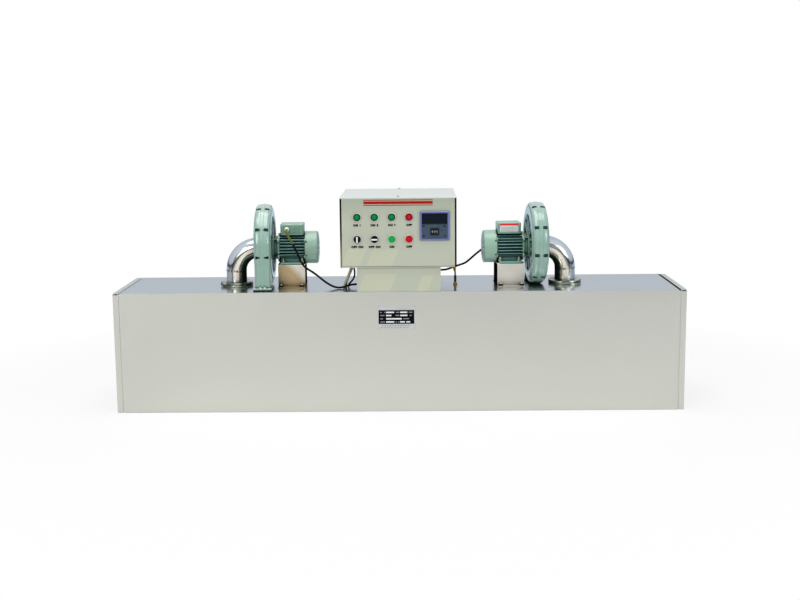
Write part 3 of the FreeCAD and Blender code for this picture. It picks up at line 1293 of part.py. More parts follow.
# ---- Export ------------------------------------------------------------------------------------
def main():
    os.makedirs("parts", exist_ok=True)

    save("tank_front_panel", upright_panel(-1))
    save("tank_rear_panel", upright_panel(1))
    save("tank_top_panel", top_panel())
    save("tank_base_pan", base_pan())
    save("end_frame_left", end_frame(-1))
    save("end_frame_right", end_frame(1))
    save("plenum_box", plenum_box())
    save("nozzle_plate", nozzle_plate())
    save("heater_elements", heater_elements())

    for name, side in (("left", -1), ("right", 1)):
        save(name + "_inlet_elbow", on_unit(inlet_elbow(), side))
        save(name + "_casing_inlet_half", on_unit(casing_inlet_half(), side))
        save(name + "_casing_motor_half", on_unit(casing_motor_half(), side))
        save(name + "_impeller", on_unit(impeller(), side))
        save(name + "_rotor", on_unit(rotor(), side))
        save(name + "_stator_housing", on_unit(stator_housing(), side))
        save(name + "_cooling_fan", on_unit(cooling_fan(), side))

    save("fan_cowls", both_units([fan_cowl()]))
    save("motor_end_shields", both_units([front_shield(), rear_shield()]))
    save("stator_windings", both_units([stator_winding()]))
    save("motor_bearings", both_units(motor_bearings()))
    save("terminal_boxes", both_units([terminal_box()]))
    save("terminal_lids", both_units([terminal_lid()]))
    save("motor_brackets", both_units([motor_bracket()]))
    save("pipe_flanges", both_units(pipe_flanges()))
    save("blower_bolts", both_units(casing_screws() + tie_rods()))
    save("mounting_screws", both_units(mounting_bolts()) + small_screws())
    save("rubber_seals", both_units([outlet_gasket(), flange_gasket()]) + edge_seals())

    save("pedestal", pedestal())
    save("cabinet_shell", cabinet_shell())
    save("hood", hood())
    save("fascia", fascia())
    save("device_bezels", device_bezels())
    save("green_lenses", [pilot_lens(column) for column in range(3)])
    save("red_lens", pilot_lens(3))
    save("heat_selector", selector_knob(0, 0))
    save("fan_selector", selector_knob(1, 90))
    save("start_button", push_button(2))
    save("stop_button", push_button(3))
    save("controller_case", controller_case())
    save("controller_window", controller_window())
    for place, name in enumerate(("hundreds", "tens", "units")):
        save("number_wheel_" + name, number_wheel(place))
    save("control_gear", control_gear())
    save("rating_plate", rating_plate())

    save("cable_glands", both_units([motor_gland()]) + [inlet_gland()])
    save("probe_fitting", probe_fitting())
    save("left_motor_lead", lead("left_motor_lead", LEFT_MOTOR_LEAD, MOTOR_LEAD))
    save("right_motor_lead", lead("right_motor_lead", RIGHT_MOTOR_LEAD, MOTOR_LEAD))
    save("heater_sleeve_lead", lead("heater_sleeve_lead", HEATER_SLEEVE_LEAD, SLEEVE_LEAD))
    save("heater_lead_straight", lead("heater_lead_straight", HEATER_LEAD_STRAIGHT, HEATER_LEAD))
    save("heater_lead_loop", lead("heater_lead_loop", HEATER_LEAD_LOOP, HEATER_LEAD))
    save("probe_lead", lead("probe_lead", PROBE_LEAD_ROUTE, PROBE_LEAD))


main()
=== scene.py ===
# %% [markdown]
# # Dressing a hot air drying tunnel
# A long stainless tank dries what passes through it. Two blowers stand on its top, each with a
# finned motor and a polished intake elbow, and a painted control cabinet sits between them.
# Every rigid piece is already modelled and measured, so this lesson adds what a measured model
# lacks: finishes, leads, printed marks, light and a camera. The model is loaded first and is
# never moved, because all later sizes and places are read from it.

# %% Load the measured model
import bmesh
import bpy
import json
import math
from mathutils import Matrix, Vector


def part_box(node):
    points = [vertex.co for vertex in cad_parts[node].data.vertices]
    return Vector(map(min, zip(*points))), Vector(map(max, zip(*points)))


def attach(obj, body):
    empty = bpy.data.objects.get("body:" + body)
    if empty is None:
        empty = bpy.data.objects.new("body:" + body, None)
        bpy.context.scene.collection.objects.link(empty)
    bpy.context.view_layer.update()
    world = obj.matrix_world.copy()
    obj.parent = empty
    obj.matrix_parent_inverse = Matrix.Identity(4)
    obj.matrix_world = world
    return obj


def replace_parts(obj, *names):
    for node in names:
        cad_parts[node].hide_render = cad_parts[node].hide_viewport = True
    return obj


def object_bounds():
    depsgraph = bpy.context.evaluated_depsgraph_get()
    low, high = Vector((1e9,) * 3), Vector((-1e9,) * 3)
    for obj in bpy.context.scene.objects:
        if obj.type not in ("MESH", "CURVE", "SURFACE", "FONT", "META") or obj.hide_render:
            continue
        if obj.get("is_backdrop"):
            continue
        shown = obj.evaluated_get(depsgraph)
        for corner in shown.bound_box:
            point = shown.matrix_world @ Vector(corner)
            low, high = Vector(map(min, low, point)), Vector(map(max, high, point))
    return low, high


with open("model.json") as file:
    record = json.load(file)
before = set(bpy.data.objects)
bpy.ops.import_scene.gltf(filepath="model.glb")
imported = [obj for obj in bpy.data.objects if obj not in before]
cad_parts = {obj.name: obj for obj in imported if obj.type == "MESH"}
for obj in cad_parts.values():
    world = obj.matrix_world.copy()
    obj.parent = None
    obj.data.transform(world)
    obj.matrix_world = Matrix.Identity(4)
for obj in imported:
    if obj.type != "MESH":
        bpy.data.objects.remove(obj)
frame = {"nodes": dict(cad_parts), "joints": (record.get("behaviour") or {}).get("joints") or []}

scene = bpy.context.scene
nodes = frame["nodes"]
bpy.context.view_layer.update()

# %% [markdown]
# ## The camera
# The tunnel is seen from a little above the middle of its front, from far enough away that its
# long edges stay almost parallel. A camera can be aimed with a constraint, but three plain angles
# turned into a matrix leave nothing to be solved later, and the horizon's slight tilt is one of them.

# %% Put up the camera
CAMERA_PLACE = Vector((0.0580, -4.3114, 1.0498))
YAW, PITCH, ROLL = -0.0132, 0.1606, -0.0095
LENS = 56.2

level_right = Vector((math.cos(YAW), -math.sin(YAW), 0))
forward = Vector((math.sin(YAW) * math.cos(PITCH), math.cos(YAW) * math.cos(PITCH), -math.sin(PITCH)))
level_up = level_right.cross(forward)
right = level_right * math.cos(ROLL) + level_up * math.sin(ROLL)
up = level_up * math.cos(ROLL) - level_right * math.sin(ROLL)

camera = bpy.data.objects.new("camera", bpy.data.cameras.new("camera"))
camera.data.lens = LENS
camera.data.clip_end = 100
camera.matrix_world = Matrix.Translation(CAMERA_PLACE) @ Matrix((right, up, -forward)).transposed().to_4x4()
scene.collection.objects.link(camera)
scene.camera = camera
print("camera looks along", [round(v, 3) for v in forward])

# %% [markdown]
# ## The leads
# A lead is a fixed length of something bendy. It leaves its gland straight, falls under its own
# weight and lies in an easy curve, so it never has a corner. A chain of straight tubes would show
# its joints. A NURBS curve is drawn towards its points without touching them, which gives the
# same slow bends as rubber over copper. Its round bevel is one metre deep and each point's radius
# shrinks that to the lead's own, so that the box round the curve is a true one.

# %% Routes of the six leads, from where each leaves its gland or the cabinet
LEFT_MOTOR_ROUTE = [
    (-0.38359, -0.06291, 0.607), (-0.38312, -0.08091, 0.607), (-0.381, -0.098, 0.602),
    (-0.374, -0.107, 0.589), (-0.363, -0.110, 0.570), (-0.351, -0.108, 0.547), (-0.341, -0.106, 0.523),
    (-0.333, -0.105, 0.503), (-0.323, -0.105, 0.487), (-0.309, -0.105, 0.476), (-0.292, -0.106, 0.466),
    (-0.273, -0.107, 0.451), (-0.252, -0.109, 0.434), (-0.232, -0.112, 0.421), (-0.211, -0.116, 0.414),
    (-0.191, -0.113, 0.415), (-0.172, -0.104, 0.420), (-0.157, -0.098, 0.423), (-0.140, -0.098, 0.423)]
RIGHT_MOTOR_ROUTE = [
    (0.39073, 0.04079, 0.607), (0.38979, 0.05877, 0.607), (0.385, 0.078, 0.602), (0.373, 0.088, 0.590),
    (0.359, 0.092, 0.575), (0.341, 0.089, 0.559), (0.322, 0.079, 0.544), (0.304, 0.066, 0.531),
    (0.286, 0.052, 0.519), (0.267, 0.036, 0.507), (0.246, 0.012, 0.492), (0.228, -0.014, 0.482),
    (0.209, -0.035, 0.479), (0.190, -0.050, 0.475), (0.172, -0.057, 0.469), (0.157, -0.060, 0.465),
    (0.140, -0.060, 0.465)]
HEATER_SLEEVE_ROUTE = [
    (-0.162, -0.097, 0.493), (-0.162, -0.097, 0.481), (-0.168, -0.098, 0.464), (-0.178, -0.098, 0.439),
    (-0.187, -0.097, 0.422), (-0.187, -0.097, 0.410)]
HEATER_STRAIGHT_ROUTE = [
    (-0.158, -0.084, 0.493), (-0.158, -0.084, 0.482), (-0.163, -0.085, 0.468), (-0.173, -0.086, 0.446),
    (-0.182, -0.085, 0.424), (-0.182, -0.085, 0.410)]
HEATER_LOOP_ROUTE = [
    (-0.156, -0.069, 0.493), (-0.156, -0.069, 0.480), (-0.152, -0.070, 0.463), (-0.153, -0.071, 0.446),
    (-0.160, -0.071, 0.433), (-0.168, -0.070, 0.425), (-0.174, -0.069, 0.418), (-0.175, -0.068, 0.4108)]
PROBE_ROUTE = [
    (0.189, -0.040, 0.493), (0.189, -0.040, 0.482), (0.191, -0.041, 0.467), (0.193, -0.040, 0.451),
    (0.193, -0.040, 0.436)]
print("longest route has", len(LEFT_MOTOR_ROUTE), "points")

# %% Turn each route into a lead
BASE = "dryer_frame"


def add_object(name, data):
    """Puts an object into the scene."""
    piece = bpy.data.objects.new(name, data)
    scene.collection.objects.link(piece)
    return piece


def lay_lead(node, route, diameter, length, lay):
    """Smooth round lead through the space of its measured node, fixed at both ends."""
    curve = bpy.data.curves.new(node + "_cord", "CURVE")
    curve.dimensions = "3D"
    curve.bevel_depth = 1.0
    curve.bevel_resolution = 5
    curve.resolution_u = 10
    curve.use_fill_caps = True
    spline = curve.splines.new("NURBS")
    spline.points.add(len(route) - 1)
    for point, place in zip(spline.points, route):
        point.co = (*place, 1)
        point.radius = diameter / 2
    spline.order_u = 3
    spline.use_endpoint_u = True
    piece = add_object(node + "_cord", curve)
    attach(piece, BASE)
    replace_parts(piece, node)
    return curve


LEADS = {"left_motor_lead": (LEFT_MOTOR_ROUTE, 0.007, 0.3763, "loose"),
         "right_motor_lead": (RIGHT_MOTOR_ROUTE, 0.007, 0.3811, "hanging"),
         "heater_sleeve_lead": (HEATER_SLEEVE_ROUTE, 0.009, 0.0879, "hanging"),
         "heater_lead_straight": (HEATER_STRAIGHT_ROUTE, 0.006, 0.0876, "hanging"),
         "heater_lead_loop": (HEATER_LOOP_ROUTE, 0.006, 0.0896, "hanging"),
         "probe_lead": (PROBE_ROUTE, 0.0055, 0.0573, "hanging")}
leads = {node: lay_lead(node, *values) for node, values in LEADS.items()}
print("leads laid:", ", ".join(leads))

# %% [markdown]
# ## Floor, backdrop and light
# Bright metal shows whatever stands round it, so the room matters as much as the lamps. A sheet of
# white board would do in a workshop. Here the floor is one wide plane. Away from the tunnel the
# camera sees plain white, close to it the tunnel's shadow stays, and polished metal sees a pale
# blue glow further back. The world is white where it is looked at straight. In a reflection it
# turns dark low on the horizon, like a workshop's walls, because a polished elbow without a dark
# band looks like chalk. Three broad soft lamps give the forms their shading: one overhead, one in
# front to the left and a smaller one to the right.

# %% Helpers for materials and their nodes
def fill(tree, socket, value):
    """Links a socket to an input, or writes a number, vector or colour into it."""
    if isinstance(value, bpy.types.NodeSocket):
        tree.links.new(value, socket)
    elif socket.type == "RGBA" and len(value) == 3:
        socket.default_value = (*value, 1)
    else:
        socket.default_value = value


def new_material(name, **values):
    """Node material, its tree and its shader, whose own inputs can be given by name."""
    material = bpy.data.materials.new(name)
    material.use_nodes = True
    tree = material.node_tree
    shader = tree.nodes["Principled BSDF"]
    for label, value in values.items():
        fill(tree, shader.inputs[label.replace("_", " ")], value)
    return material, tree, shader


def put(tree, kind, values=None, **settings):
    """Adds a shader node, sets its properties and fills its inputs by name or number."""
    node = tree.nodes.new("ShaderNode" + kind)
    for name, value in settings.items():
        setattr(node, name, value)
    for socket, value in (values or {}).items():
        fill(tree, node.inputs[socket], value)
    return node


print("materials and nodes can be made")

# %% Helpers that add one node and give its result
def maths(tree, operation, *values):
    """One step of arithmetic on numbers."""
    return put(tree, "Math", dict(enumerate(values)), operation=operation).outputs[0]


def vectors(tree, operation, *values):
    """One step of arithmetic on vectors; a dot product or a length gives a number."""
    node = put(tree, "VectorMath", dict(enumerate(values)), operation=operation)
    return node.outputs["Value" if operation in ("DOT_PRODUCT", "LENGTH") else 0]


def part_of(tree, vector, axis):
    """One of the three numbers of a vector."""
    return put(tree, "SeparateXYZ", {0: vector}).outputs[axis]


def ranged(tree, value, start=0.0, end=1.0, low=0.0, high=1.0):
    """Moves a value from one range to another and holds it at both ends."""
    limits = {"Value": value, "From Min": start, "From Max": end, "To Min": low, "To Max": high}
    return put(tree, "MapRange", limits).outputs[0]


def blended(tree, share, first, second):
    """Colour between two others by a mask."""
    return put(tree, "Mix", {0: share, 6: first, 7: second}, data_type="RGBA").outputs[2]


def spot(tree):
    """Place on the tunnel, in metres."""
    return put(tree, "TexCoord").outputs["Object"]


def noise(tree, place, size, detail=2.0):
    """Cloudy pattern from 0 to 1."""
    return put(tree, "TexNoise", {"Vector": place, "Scale": size, "Detail": detail}).outputs["Fac"]


def ramp(tree, value, steps):
    """Colours along a value from 0 to 1."""
    node = put(tree, "ValToRGB", {0: value})
    stops = node.color_ramp.elements
    for stop, (place, colour) in ((stops[0], steps[0]), (stops[1], steps[-1])):
        stop.position = place
        stop.color = (*colour, 1)
    for place, colour in steps[1:-1]:
        stops.new(place).color = (*colour, 1)
    return node.outputs[0]


print("helpers for single nodes ready")

# %% Lay the floor
FLOOR_SIZE = 60.0
corner = FLOOR_SIZE / 2
floor_mesh = bpy.data.meshes.new("floor")
corners = [(x * corner, y * corner, 0) for x, y in ((-1, -1), (1, -1), (1, 1), (-1, 1))]
floor_mesh.from_pydata(corners, [], [(0, 1, 2, 3)])
floor = add_object("floor", floor_mesh)
floor.location.z = -0.001
floor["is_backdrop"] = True

white_floor, tree, shader = new_material("white_floor", Base_Color=(0.86, 0.86, 0.85), Roughness=0.9,
                                         Specular_IOR_Level=0.1)
rays = put(tree, "LightPath").outputs
tint = blended(tree, rays["Is Glossy Ray"], (1, 1, 1), (0.62, 0.80, 1.0))
glow = put(tree, "Emission", {"Color": tint, "Strength": 1.0}).outputs[0]
place = spot(tree)
plain = ranged(tree, vectors(tree, "LENGTH", place), 1.05, 2.0, 0.82, 1.0)
looked_at = maths(tree, "MULTIPLY", rays["Is Camera Ray"], plain)
behind = ranged(tree, part_of(tree, place, "Y"), 0.6, 1.8, 0.0, 0.75)
share = maths(tree, "MULTIPLY_ADD", rays["Is Glossy Ray"], behind, looked_at)
both = put(tree, "MixShader", {0: share, 1: shader.outputs[0], 2: glow}).outputs[0]
fill(tree, tree.nodes["Material Output"].inputs["Surface"], both)
floor_mesh.materials.append(white_floor)
print("floor is", FLOOR_SIZE, "m wide")

# %% Light the room
WALLS = ((0.0, (0.05, 0.07, 0.08)), (0.06, (0.10, 0.13, 0.16)), (0.11, (0.60, 0.63, 0.70)),
         (0.22, (0.68, 0.72, 0.80)), (0.36, (0.72, 0.77, 0.84)), (0.70, (0.84, 0.88, 0.94)))
TANK_TOP = Vector((0, 0, 0.4))
world = bpy.data.worlds.new("studio")
scene.world = world
world.use_nodes = True
tree = world.node_tree
tree.nodes.clear()
rays = put(tree, "LightPath").outputs
height = part_of(tree, put(tree, "TexCoord").outputs["Generated"], "Z")
ambient = put(tree, "Background", {"Color": (1, 1, 1), "Strength": 0.30}).outputs[0]
mirrored = put(tree, "Background", {"Color": ramp(tree, height, WALLS), "Strength": 1.0}).outputs[0]
seen = put(tree, "Background", {"Color": (1, 1, 1), "Strength": 1.0}).outputs[0]
shiny = put(tree, "MixShader", {0: rays["Is Glossy Ray"], 1: ambient, 2: mirrored}).outputs[0]
clear = maths(tree, "MAXIMUM", rays["Is Camera Ray"], rays["Is Transmission Ray"])
sky = put(tree, "MixShader", {0: clear, 1: shiny, 2: seen}).outputs[0]
put(tree, "OutputWorld", {"Surface": sky})


def hang_lamp(name, place, size, power, colour=(1, 1, 1)):
    """Square soft lamp that faces the tank's top."""
    lamp = bpy.data.lights.new(name, "AREA")
    lamp.size = size
    lamp.energy = power
    lamp.color = colour
    holder = add_object(name, lamp)
    holder.location = place
    holder.rotation_euler = (TANK_TOP - Vector(place)).to_track_quat("-Z", "Y").to_euler()


hang_lamp("overhead_lamp", (-0.3, -0.4, 3.4), 2.6, 72)
hang_lamp("front_lamp", (-2.2, -4.2, 2.4), 2.2, 74)
hang_lamp("side_lamp", (3.2, -2.6, 1.8), 1.6, 50, (0.92, 0.96, 1.0))
scene.view_settings.view_transform = "Standard"

# %% [markdown]
# ## Effects that many finishes share
# Polished sheet, castings and powder coat all need small unevenness: grain that runs one way, a
# skin of tiny bumps, colour that drifts a little, edges worn by hands, and dust on what faces up.
# Each could be painted into every material. Built once as a node group with named sockets, an
# effect stays the same everywhere and each finish only chooses its size and strength.

# %% A small helper for node groups
def new_group(name, given, wanted, kind="Float"):
    """Shader node group with inputs whose values tell their kind, and outputs that are all of one kind."""
    group = bpy.data.node_groups.new(name, "ShaderNodeTree")
    for label, value in given.items():
        own = "Float" if isinstance(value, float) else {3: "Vector", 4: "Color"}[len(value)]
        socket = group.interface.new_socket(name=label, in_out="INPUT", socket_type="NodeSocket" + own)
        socket.default_value = value
    for label in wanted:
        group.interface.new_socket(name=label, in_out="OUTPUT", socket_type="NodeSocket" + kind)
    return group, group.nodes.new("NodeGroupInput").outputs, group.nodes.new("NodeGroupOutput").inputs


def use(tree, group, **values):
    """Places a group in a material, with its inputs given by name and spaces for underscores."""
    node = put(tree, "Group", node_tree=group)
    for label, value in values.items():
        fill(tree, node.inputs[label.replace("_", " ")], value)
    return node.outputs


print("group helpers ready")

# %% Grain that runs one way, as a rolling mill or a belt leaves it
sheet_grain, given, wanted = new_group(
    "sheet_grain", {"Stretch": (2, 400, 400), "Cloud Size": 6.0}, ["Streak", "Cloud"])
tree = sheet_grain
place = spot(tree)
fill(tree, wanted["Streak"], noise(tree, vectors(tree, "MULTIPLY", place, given["Stretch"]), 1.0, 3.0))
fill(tree, wanted["Cloud"], noise(tree, place, given["Cloud Size"]))

# %% Colour that drifts slowly over a surface
tone_drift, given, wanted = new_group(
    "tone_drift", {"Colour": (0.5, 0.5, 0.5, 1), "Spread": 0.08, "Size": 12.0}, ["Colour"], "Color")
tree = tone_drift
centred = maths(tree, "SUBTRACT", noise(tree, spot(tree), given["Size"], 4.0), 0.5)
scaled = maths(tree, "MULTIPLY_ADD", centred, given["Spread"], 1.0)
shifted = put(tree, "HueSaturation", {"Value": scaled, "Color": given["Colour"]}).outputs[0]
fill(tree, wanted["Colour"], shifted)

# %% Edges rubbed through by hands and tools
worn_edges, given, wanted = new_group(
    "worn_edges", {"Width": 0.001, "Patch Size": 60.0, "Strength": 0.6}, ["Wear"])
tree = worn_edges
rounded = put(tree, "Bevel", {"Radius": given["Width"]}, samples=4).outputs[0]
along = vectors(tree, "DOT_PRODUCT", rounded, put(tree, "NewGeometry").outputs["Normal"])
edge = ranged(tree, along, 0.995, 0.80)
broken = ranged(tree, noise(tree, spot(tree), given["Patch Size"], 3.0), 0.45, 0.62)
both = maths(tree, "MULTIPLY", edge, broken)
fill(tree, wanted["Wear"], maths(tree, "MULTIPLY", both, given["Strength"]))

# %% Dust that settles on what faces up
settled_dust, given, wanted = new_group("settled_dust", {"Amount": 0.3, "Patch Size": 25.0}, ["Dust"])
tree = settled_dust
facing = part_of(tree, put(tree, "NewGeometry").outputs["Normal"], "Z")
patches = noise(tree, spot(tree), given["Patch Size"], 5.0)
both = maths(tree, "MULTIPLY", ranged(tree, facing, 0.55, 1.0), patches)
fill(tree, wanted["Dust"], maths(tree, "MULTIPLY", both, given["Amount"]))

# %% Painted shade in corners and gaps, where light hardly reaches
crevice_shade, given, wanted = new_group(
    "crevice_shade", {"Reach": 0.015, "Clean": 0.80, "Filled": 0.35}, ["Mask"])
tree = crevice_shade
# Ambient occlusion gives the mask for painted shade.
open_part = put(tree, "AmbientOcclusion", {"Distance": given["Reach"]}, samples=6).outputs["AO"]
fill(tree, wanted["Mask"], ranged(tree, open_part, given["Clean"], given["Filled"]))

# %% The skin of a casting or of sprayed paint
cast_skin, given, wanted = new_group("cast_skin", {"Size": 400.0, "Pits": 0.3}, ["Height"])
tree = cast_skin
place = spot(tree)
cells = put(tree, "TexVoronoi", {"Vector": place, "Scale": given["Size"]}).outputs["Distance"]
pits = maths(tree, "MULTIPLY_ADD", cells, given["Pits"], noise(tree, place, given["Size"]))
fill(tree, wanted["Height"], pits)

# %% A band between two heights along any direction
zone, given, wanted = new_group(
    "zone", {"Direction": (0, 0, 1), "Low": 0.0, "High": 1.0, "Soft": 0.002}, ["Mask"])
tree = zone
along = vectors(tree, "DOT_PRODUCT", spot(tree), given["Direction"])
rise = ranged(tree, along, maths(tree, "SUBTRACT", given["Low"], given["Soft"]), given["Low"])
fall = ranged(tree, along, maths(tree, "ADD", given["High"], given["Soft"]), given["High"])
fill(tree, wanted["Mask"], maths(tree, "MULTIPLY", rise, fall))


def band(tree, low, high, direction=(0, 0, 1), soft=0.002):
    """Mask between two heights, with a soft edge outside them."""
    return use(tree, zone, Direction=direction, Low=low, High=high, Soft=soft)["Mask"]


# %% Distance from an axle, for rings and for the roots of cooling fins
reach, given, wanted = new_group("reach", {"Centre": (0, 0, 0), "Axis": (1, 0, 0)}, ["Distance"])
tree = reach
offset = vectors(tree, "SUBTRACT", spot(tree), given["Centre"])
sideways = vectors(tree, "CROSS_PRODUCT", offset, given["Axis"])
fill(tree, wanted["Distance"], vectors(tree, "LENGTH", sideways))

# %% Place across the section of a bend that turns from straight down to straight ahead
bend_section, given, wanted = new_group(
    "bend_section", {"Centre": (0, 0, 0), "Ahead": (1, 0, 0)}, ["Distance"])
tree = bend_section
offset = vectors(tree, "SUBTRACT", spot(tree), given["Centre"])
back = maths(tree, "MINIMUM", vectors(tree, "DOT_PRODUCT", offset, given["Ahead"]), 0.0)
rise = maths(tree, "MAXIMUM", part_of(tree, offset, "Z"), 0.0)
flat = put(tree, "CombineXYZ", {0: back, 1: rise}).outputs[0]
fill(tree, wanted["Distance"], vectors(tree, "LENGTH", flat))
print("groups built:", [g.name for g in bpy.data.node_groups])

# %% [markdown]
# ## Metal finishes
# Sheet metal is never one grey. Its grain spreads a reflection along one direction, and rolling
# leaves broad clouds that show where the sheet mirrors an even wall. A picture of brushed steel
# would repeat; noise stretched along the rolling direction doesn't. The grain goes into roughness
# and a very shallow bump, and the clouds into colour, so that polished, satin and zinc coated
# pieces come from one recipe.

# %% Helpers for colour, relief and painted shade
def colour_of(red, green, blue):
    """Shader colour from the 0 to 255 values that a paint card gives."""
    def linear(value):
        share = value / 255
        return share / 12.92 if share <= 0.04045 else ((share + 0.055) / 1.055) ** 2.4
    return linear(red), linear(green), linear(blue)


def bump(tree, shader, height, strength, distance):
    """Feeds a height pattern to the shader's normal."""
    relief = put(tree, "Bump", {"Height": height, "Strength": strength, "Distance": distance})
    fill(tree, shader.inputs["Normal"], relief.outputs[0])


def overlay(material, colour, *masks):
    """Lays another colour over a finish, as strongly as all its masks multiplied together."""
    tree = material.node_tree
    share = masks[0]
    for mask in masks[1:]:
        share = maths(tree, "MULTIPLY", share, mask)
    base = tree.nodes["Principled BSDF"].inputs["Base Color"]
    fill(tree, base, blended(tree, share, base.links[0].from_socket, colour))


def roughen(material, mask, roughness):
    """Takes a finish to another roughness where the mask is 1."""
    tree = material.node_tree
    rough = tree.nodes["Principled BSDF"].inputs["Roughness"]
    mixed = put(tree, "Mix", {0: mask, 2: rough.links[0].from_socket, 3: roughness}, data_type="FLOAT")
    fill(tree, rough, mixed.outputs[0])


def grimy(material, colour, share, reach_mm, open_level=0.80, occluded_level=0.35):
    """Paints shade into a finish's corners and gaps, darkening and dulling it there."""
    tree = material.node_tree
    mask = use(tree, crevice_shade, Reach=reach_mm / 1000, Clean=open_level, Filled=occluded_level)["Mask"]
    # Painted shade: a darker colour where corners hide the light.
    overlay(material, colour, mask, share)
    roughen(material, mask, 0.95)
    coat = tree.nodes["Principled BSDF"].inputs["Coat Weight"]
    if coat.default_value:
        fill(tree, coat, ranged(tree, mask, low=coat.default_value, high=0.0))


print("paint card, overlays and grime ready")

# %% One recipe for bare metal
def bare_metal(name, colour, roughness, stretch=(2, 400, 400), spread=0.10, cloud=5.0, relief=0.15):
    """Metal with grain along one direction, slow clouds in its tone and a little dust."""
    material, tree, shader = new_material(name, Metallic=1.0)
    grain = use(tree, sheet_grain, Stretch=stretch, Cloud_Size=cloud)
    tone = use(tree, tone_drift, Colour=colour, Spread=spread, Size=cloud)["Colour"]
    dust = use(tree, settled_dust, Amount=0.18, Patch_Size=9.0)["Dust"]
    fill(tree, shader.inputs["Base Color"], blended(tree, dust, tone, (0.55, 0.55, 0.52)))
    mixed = maths(tree, "MULTIPLY_ADD", grain["Streak"], 0.6, grain["Cloud"])
    fill(tree, shader.inputs["Roughness"], ranged(tree, mixed, low=roughness * 0.75, high=roughness * 1.2))
    bump(tree, shader, grain["Streak"], relief, 0.0002)
    return material


EVEN = (200, 200, 200)
satin_sheet = bare_metal("satin_sheet", (0.66, 0.66, 0.60), 0.34, spread=0.06, cloud=1.6)
mirror_sheet = bare_metal("mirror_sheet", (0.64, 0.68, 0.68), 0.19, spread=0.05, cloud=2.0, relief=0.05)
bracket_sheet = bare_metal("bracket_sheet", (0.80, 0.75, 0.65), 0.36, (400, 400, 3), 0.22, 18.0)
polished_tube = bare_metal("polished_tube", (0.78, 0.76, 0.71), 0.09, (60, 60, 60), 0.16, 14.0, 0.05)
turned_flange = bare_metal("turned_flange", (0.11, 0.13, 0.10), 0.26, (300, 300, 30), 0.5, 45.0)
galvanised_sheet = bare_metal("galvanised_sheet", (0.48, 0.50, 0.51), 0.42, (30, 30, 30), 0.5, 22.0)
ground_steel = bare_metal("ground_steel", (0.42, 0.42, 0.43), 0.28, (900, 40, 40), cloud=30.0)
zinc_steel = bare_metal("zinc_steel", (0.62, 0.56, 0.40), 0.30, EVEN, 0.3, 60.0)
plate_metal = bare_metal("plate_metal", (0.62, 0.63, 0.62), 0.38, (300, 4, 300), cloud=30.0)
rough_casting = bare_metal("rough_casting", (0.46, 0.47, 0.47), 0.50, (300, 300, 300), 0.2, 50.0)
turned_brass = bare_metal("turned_brass", (0.34, 0.19, 0.03), 0.38, (60, 60, 900), cloud=60.0)
black_bolt = bare_metal("black_bolt", (0.020, 0.016, 0.010), 0.50, EVEN, cloud=90.0)
bright_screw = bare_metal("bright_screw", (0.80, 0.78, 0.70), 0.24, EVEN, cloud=90.0)
print("metal finishes:", 13)

# %% Where each blower stands
joints = {joint["name"]: joint for joint in frame["joints"]}
axles = {side: (joints[side + "_blower_spin"]["pos_m"], joints[side + "_blower_spin"]["axis"])
         for side in ("left", "right")}


def unit_frame(side, towards):
    """Placement at a blower's centre with X along its axle, away from the intake."""
    place, axis = axles[side]
    ahead = Vector((axis[0], axis[1], 0)).normalized()
    if ahead.x * towards < 0:
        ahead = -ahead
    sideways = Vector((-ahead.y, ahead.x, 0))
    turn = Matrix((ahead, sideways, (0, 0, 1))).transposed().to_4x4()
    return Matrix.Translation(place) @ turn


units = {"left": unit_frame("left", 1), "right": unit_frame("right", -1)}
print("axles lie at", [[round(v, 4) for v in unit.translation] for unit in units.values()])

# %% Painted reflections in bands along each elbow, and heat tint at its weld
BEND_RADIUS, PIPE_RADIUS, PIPE_BACK = 0.078, 0.035, 0.102
REFLECTION_SHIFT = 0.005
WELD = (0.4605, 0.4655)
BEND_REFLECTIONS = ((0.00, (0.012, 0.022, 0.016)), (0.20, (0.05, 0.08, 0.06)), (0.25, (0.70, 0.64, 0.46)),
              (0.30, (0.10, 0.09, 0.06)), (0.34, (0.86, 0.80, 0.66)), (0.56, (0.88, 0.85, 0.78)),
              (0.62, (0.46, 0.42, 0.34)), (0.67, (0.08, 0.10, 0.12)), (0.72, (0.68, 0.72, 0.74)),
              (0.90, (0.58, 0.62, 0.64)), (1.00, (0.40, 0.50, 0.60)))
tree = polished_tube.node_tree
sections = []
for unit in units.values():
    centre = unit @ Vector((BEND_RADIUS - PIPE_BACK, 0, -BEND_RADIUS))
    ahead = unit.to_3x3() @ Vector((1, 0, 0))
    sections.append(use(tree, bend_section, Centre=centre, Ahead=ahead)["Distance"])
place = spot(tree)
on_right = maths(tree, "GREATER_THAN", part_of(tree, place, "X"), 0.0)
across = put(tree, "Mix", {0: on_right, 2: sections[0], 3: sections[1]}, data_type="FLOAT").outputs[0]
across = maths(tree, "MULTIPLY_ADD", noise(tree, place, 22.0, 1.0), 0.010, across)
inside, outside = BEND_RADIUS - PIPE_RADIUS + REFLECTION_SHIFT, BEND_RADIUS + PIPE_RADIUS + REFLECTION_SHIFT
# Painted reflections of the room, as light and dark bands across each bend's section.
overlay(polished_tube, ramp(tree, ranged(tree, across, inside, outside), BEND_REFLECTIONS), 0.92)
spots = ranged(tree, noise(tree, place, 160.0), 0.46, 0.62)
overlay(polished_tube, (0.10, 0.06, 0.035), band(tree, *WELD, soft=0.003), spots)
print("bands along each elbow:", len(BEND_REFLECTIONS))
